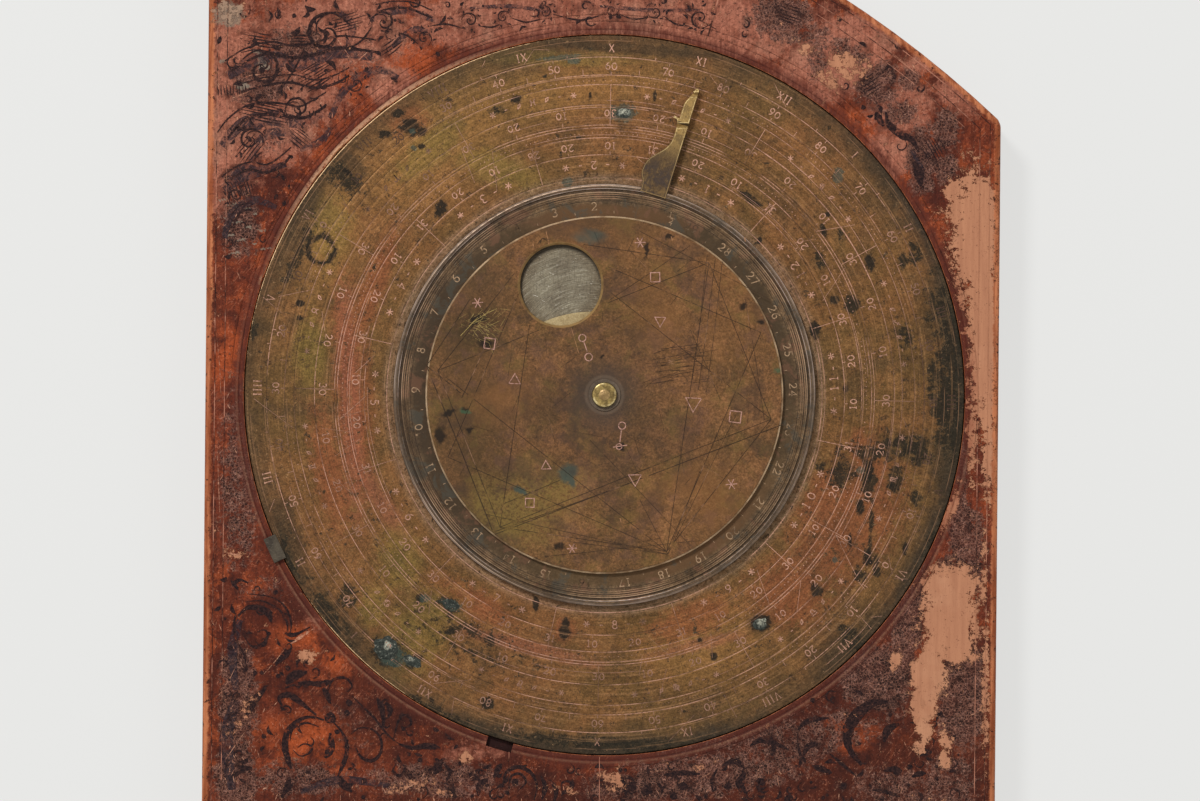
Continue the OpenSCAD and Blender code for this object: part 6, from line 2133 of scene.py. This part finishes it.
# Crusts of corrosion on the plate
def crust_material():
    p = Paint("crust")
    speck = p.noise(0.5, 5, 0.8)
    colour = p.mix(p.step(speck, 0.42, 0.6), (36, 39, 35), (60, 64, 58))
    colour = p.tint(colour, (146, 146, 132), p.step(p.noise(0.6, 5, 0.8), 0.57, 0.62), 0.7)
    pale = p.spots([
        (762, 621, 5, 4), (624, 112, 5, 3), (388, 645, 4, 4), (410, 659, 3, 2),
    ], p.ragged(1.2, 1.6), 0.5)
    colour = p.tint(colour, (172, 170, 152), pale, p.step(speck, 0.4, 0.56))
    p.bump(speck, 0.8, 0.2)
    return p.finish(colour, 0.75, 0.0, 0.15)


MATERIALS["crust"] = crust_material()


def crust(name, px, py, rx, ry, turn, high, seed, rim):
    """A low ragged heap: a raised ring round a lumpy middle."""
    cx, cy = at(px, py)
    t = math.radians(turn)
    rings, sides = 9, 44
    verts = []
    for k in range(rings + 1):
        share = k / rings
        for i in range(sides):
            a = math.tau * i / sides
            edge = 1 + 0.28 * noise.noise((math.cos(a) * 1.6 + seed, math.sin(a) * 1.6, seed))
            edge += 0.1 * noise.noise((math.cos(a) * 6, math.sin(a) * 6, seed * 2))
            u, v = share * edge * rx * PX * math.cos(a), share * edge * ry * PX * math.sin(a)
            x, y = cx + u * math.cos(t) - v * math.sin(t), cy + u * math.sin(t) + v * math.cos(t)
            swell = rim * math.exp(-((share - 0.72) / 0.16) ** 2) + (1 - rim) * math.exp(-(share / 0.35) ** 2)
            lump = 0.35 * noise.noise((x * 2.4, y * 2.4, seed)) + 0.25 * noise.noise((x * 5, y * 5, seed))
            z = high * max(0.02, swell + lump * (1 - share ** 6)) * (1 - share ** 8)
            verts.append((x, y, PLATE_TOP + (z if k < rings else -0.05)))
    faces = ring_faces(rings + 1, sides, False)
    tool = bmesh.new()
    for v in verts:
        tool.verts.new(v)
    tool.verts.ensure_lookup_table()
    for f in faces:
        tool.faces.new([tool.verts[i] for i in f])
    bmesh.ops.remove_doubles(tool, verts=tool.verts, dist=1e-5)
    bmesh.ops.dissolve_degenerate(tool, dist=1e-5, edges=tool.edges)
    bmesh.ops.holes_fill(tool, edges=tool.edges, sides=sides)
    tool.verts.ensure_lookup_table()
    clean_verts = [tuple(v.co) for v in tool.verts]
    clean_faces = [tuple(v.index for v in f.verts) for f in tool.faces]
    tool.free()
    make(name, clean_verts, clean_faces, "crust", "board", 60)


# Place in the picture, half width and height, turn, height in millimetres, seed, share of the raised ring
for name, *shape in (
    ("crust_pit", 760, 624, 8, 6, 20, 0.35, 3, 0.6),
    ("crust_ring", 386, 648, 13, 12, 0, 0.3, 7, 0.75),
    ("crust_tail", 412, 661, 11, 5, -28, 0.2, 12, 0.3),
    ("crust_left", 450, 604, 9, 5, -20, 0.18, 17, 0.2),
    ("crust_top", 624, 113, 8, 5, 0, 0.2, 21, 0.3),
):
    crust(name, *shape)


# Stage
def plain(name, build):
    mat = bpy.data.materials.new(name)
    mat.use_nodes = True
    mat.node_tree.nodes.clear()
    build(mat.node_tree)
    return mat


def seen_direct(tree):
    """1 where a ray comes from the camera or from a shiny surface."""
    ray = tree.nodes.new("ShaderNodeLightPath")
    either = tree.nodes.new("ShaderNodeMath")
    either.operation = "MAXIMUM"
    tree.links.new(ray.outputs["Is Camera Ray"], either.inputs[0])
    tree.links.new(ray.outputs["Is Glossy Ray"], either.inputs[1])
    return either.outputs[0]


def floor_nodes(tree):
    new, link = tree.nodes.new, tree.links.new
    out = new("ShaderNodeOutputMaterial")
    diffuse = new("ShaderNodeBsdfDiffuse")
    diffuse.inputs["Color"].default_value = (0.8, 0.8, 0.79, 1)
    glow = new("ShaderNodeEmission")
    glow.inputs["Color"].default_value = hue(*SCREEN_WHITE)
    part = new("ShaderNodeMath")
    part.operation = "MULTIPLY"
    link(seen_direct(tree), part.inputs[0])
    part.inputs[1].default_value = 0.85
    mixed = new("ShaderNodeMixShader")
    link(part.outputs[0], mixed.inputs[0])
    link(diffuse.outputs[0], mixed.inputs[1])
    link(glow.outputs[0], mixed.inputs[2])
    link(mixed.outputs[0], out.inputs[0])


def build_stage():
    mesh = bpy.data.meshes.new("floor")
    half = 6.0
    corners = ((-half, -half), (half, -half), (half, half), (-half, half))
    mesh.from_pydata([(x, y, -0.0004) for x, y in corners], [], [(0, 1, 2, 3)])
    mesh.materials.append(plain("floor", floor_nodes))
    floor = bpy.data.objects.new("floor", mesh)
    scene.collection.objects.link(floor)

    world = bpy.data.worlds.new("studio")
    scene.world = world
    world.use_nodes = True
    tree = world.node_tree
    tree.nodes.clear()
    out = tree.nodes.new("ShaderNodeOutputWorld")
    soft = tree.nodes.new("ShaderNodeBackground")
    soft.inputs["Color"].default_value = (1, 1, 1, 1)
    soft.inputs["Strength"].default_value = 0.42
    seen = tree.nodes.new("ShaderNodeBackground")
    seen.inputs["Color"].default_value = hue(*SCREEN_WHITE)
    seen.inputs["Strength"].default_value = 1.0
    both = tree.nodes.new("ShaderNodeMixShader")
    tree.links.new(seen_direct(tree), both.inputs[0])
    tree.links.new(soft.outputs[0], both.inputs[1])
    tree.links.new(seen.outputs[0], both.inputs[2])
    tree.links.new(both.outputs[0], out.inputs[0])

    for name, place, size, power in (
        ("key", (-0.5, 0.72, 1.0), 0.28, 14.5),
        ("fill", (0.9, -0.5, 0.9), 0.9, 3.0),
    ):
        lamp = bpy.data.lights.new(name, "AREA")
        lamp.shape = "DISK"
        lamp.size = size
        lamp.energy = power
        obj = bpy.data.objects.new(name, lamp)
        obj.location = place
        obj.rotation_euler = (-Vector(place)).to_track_quat("-Z", "Y").to_euler()
        scene.collection.objects.link(obj)


build_stage()
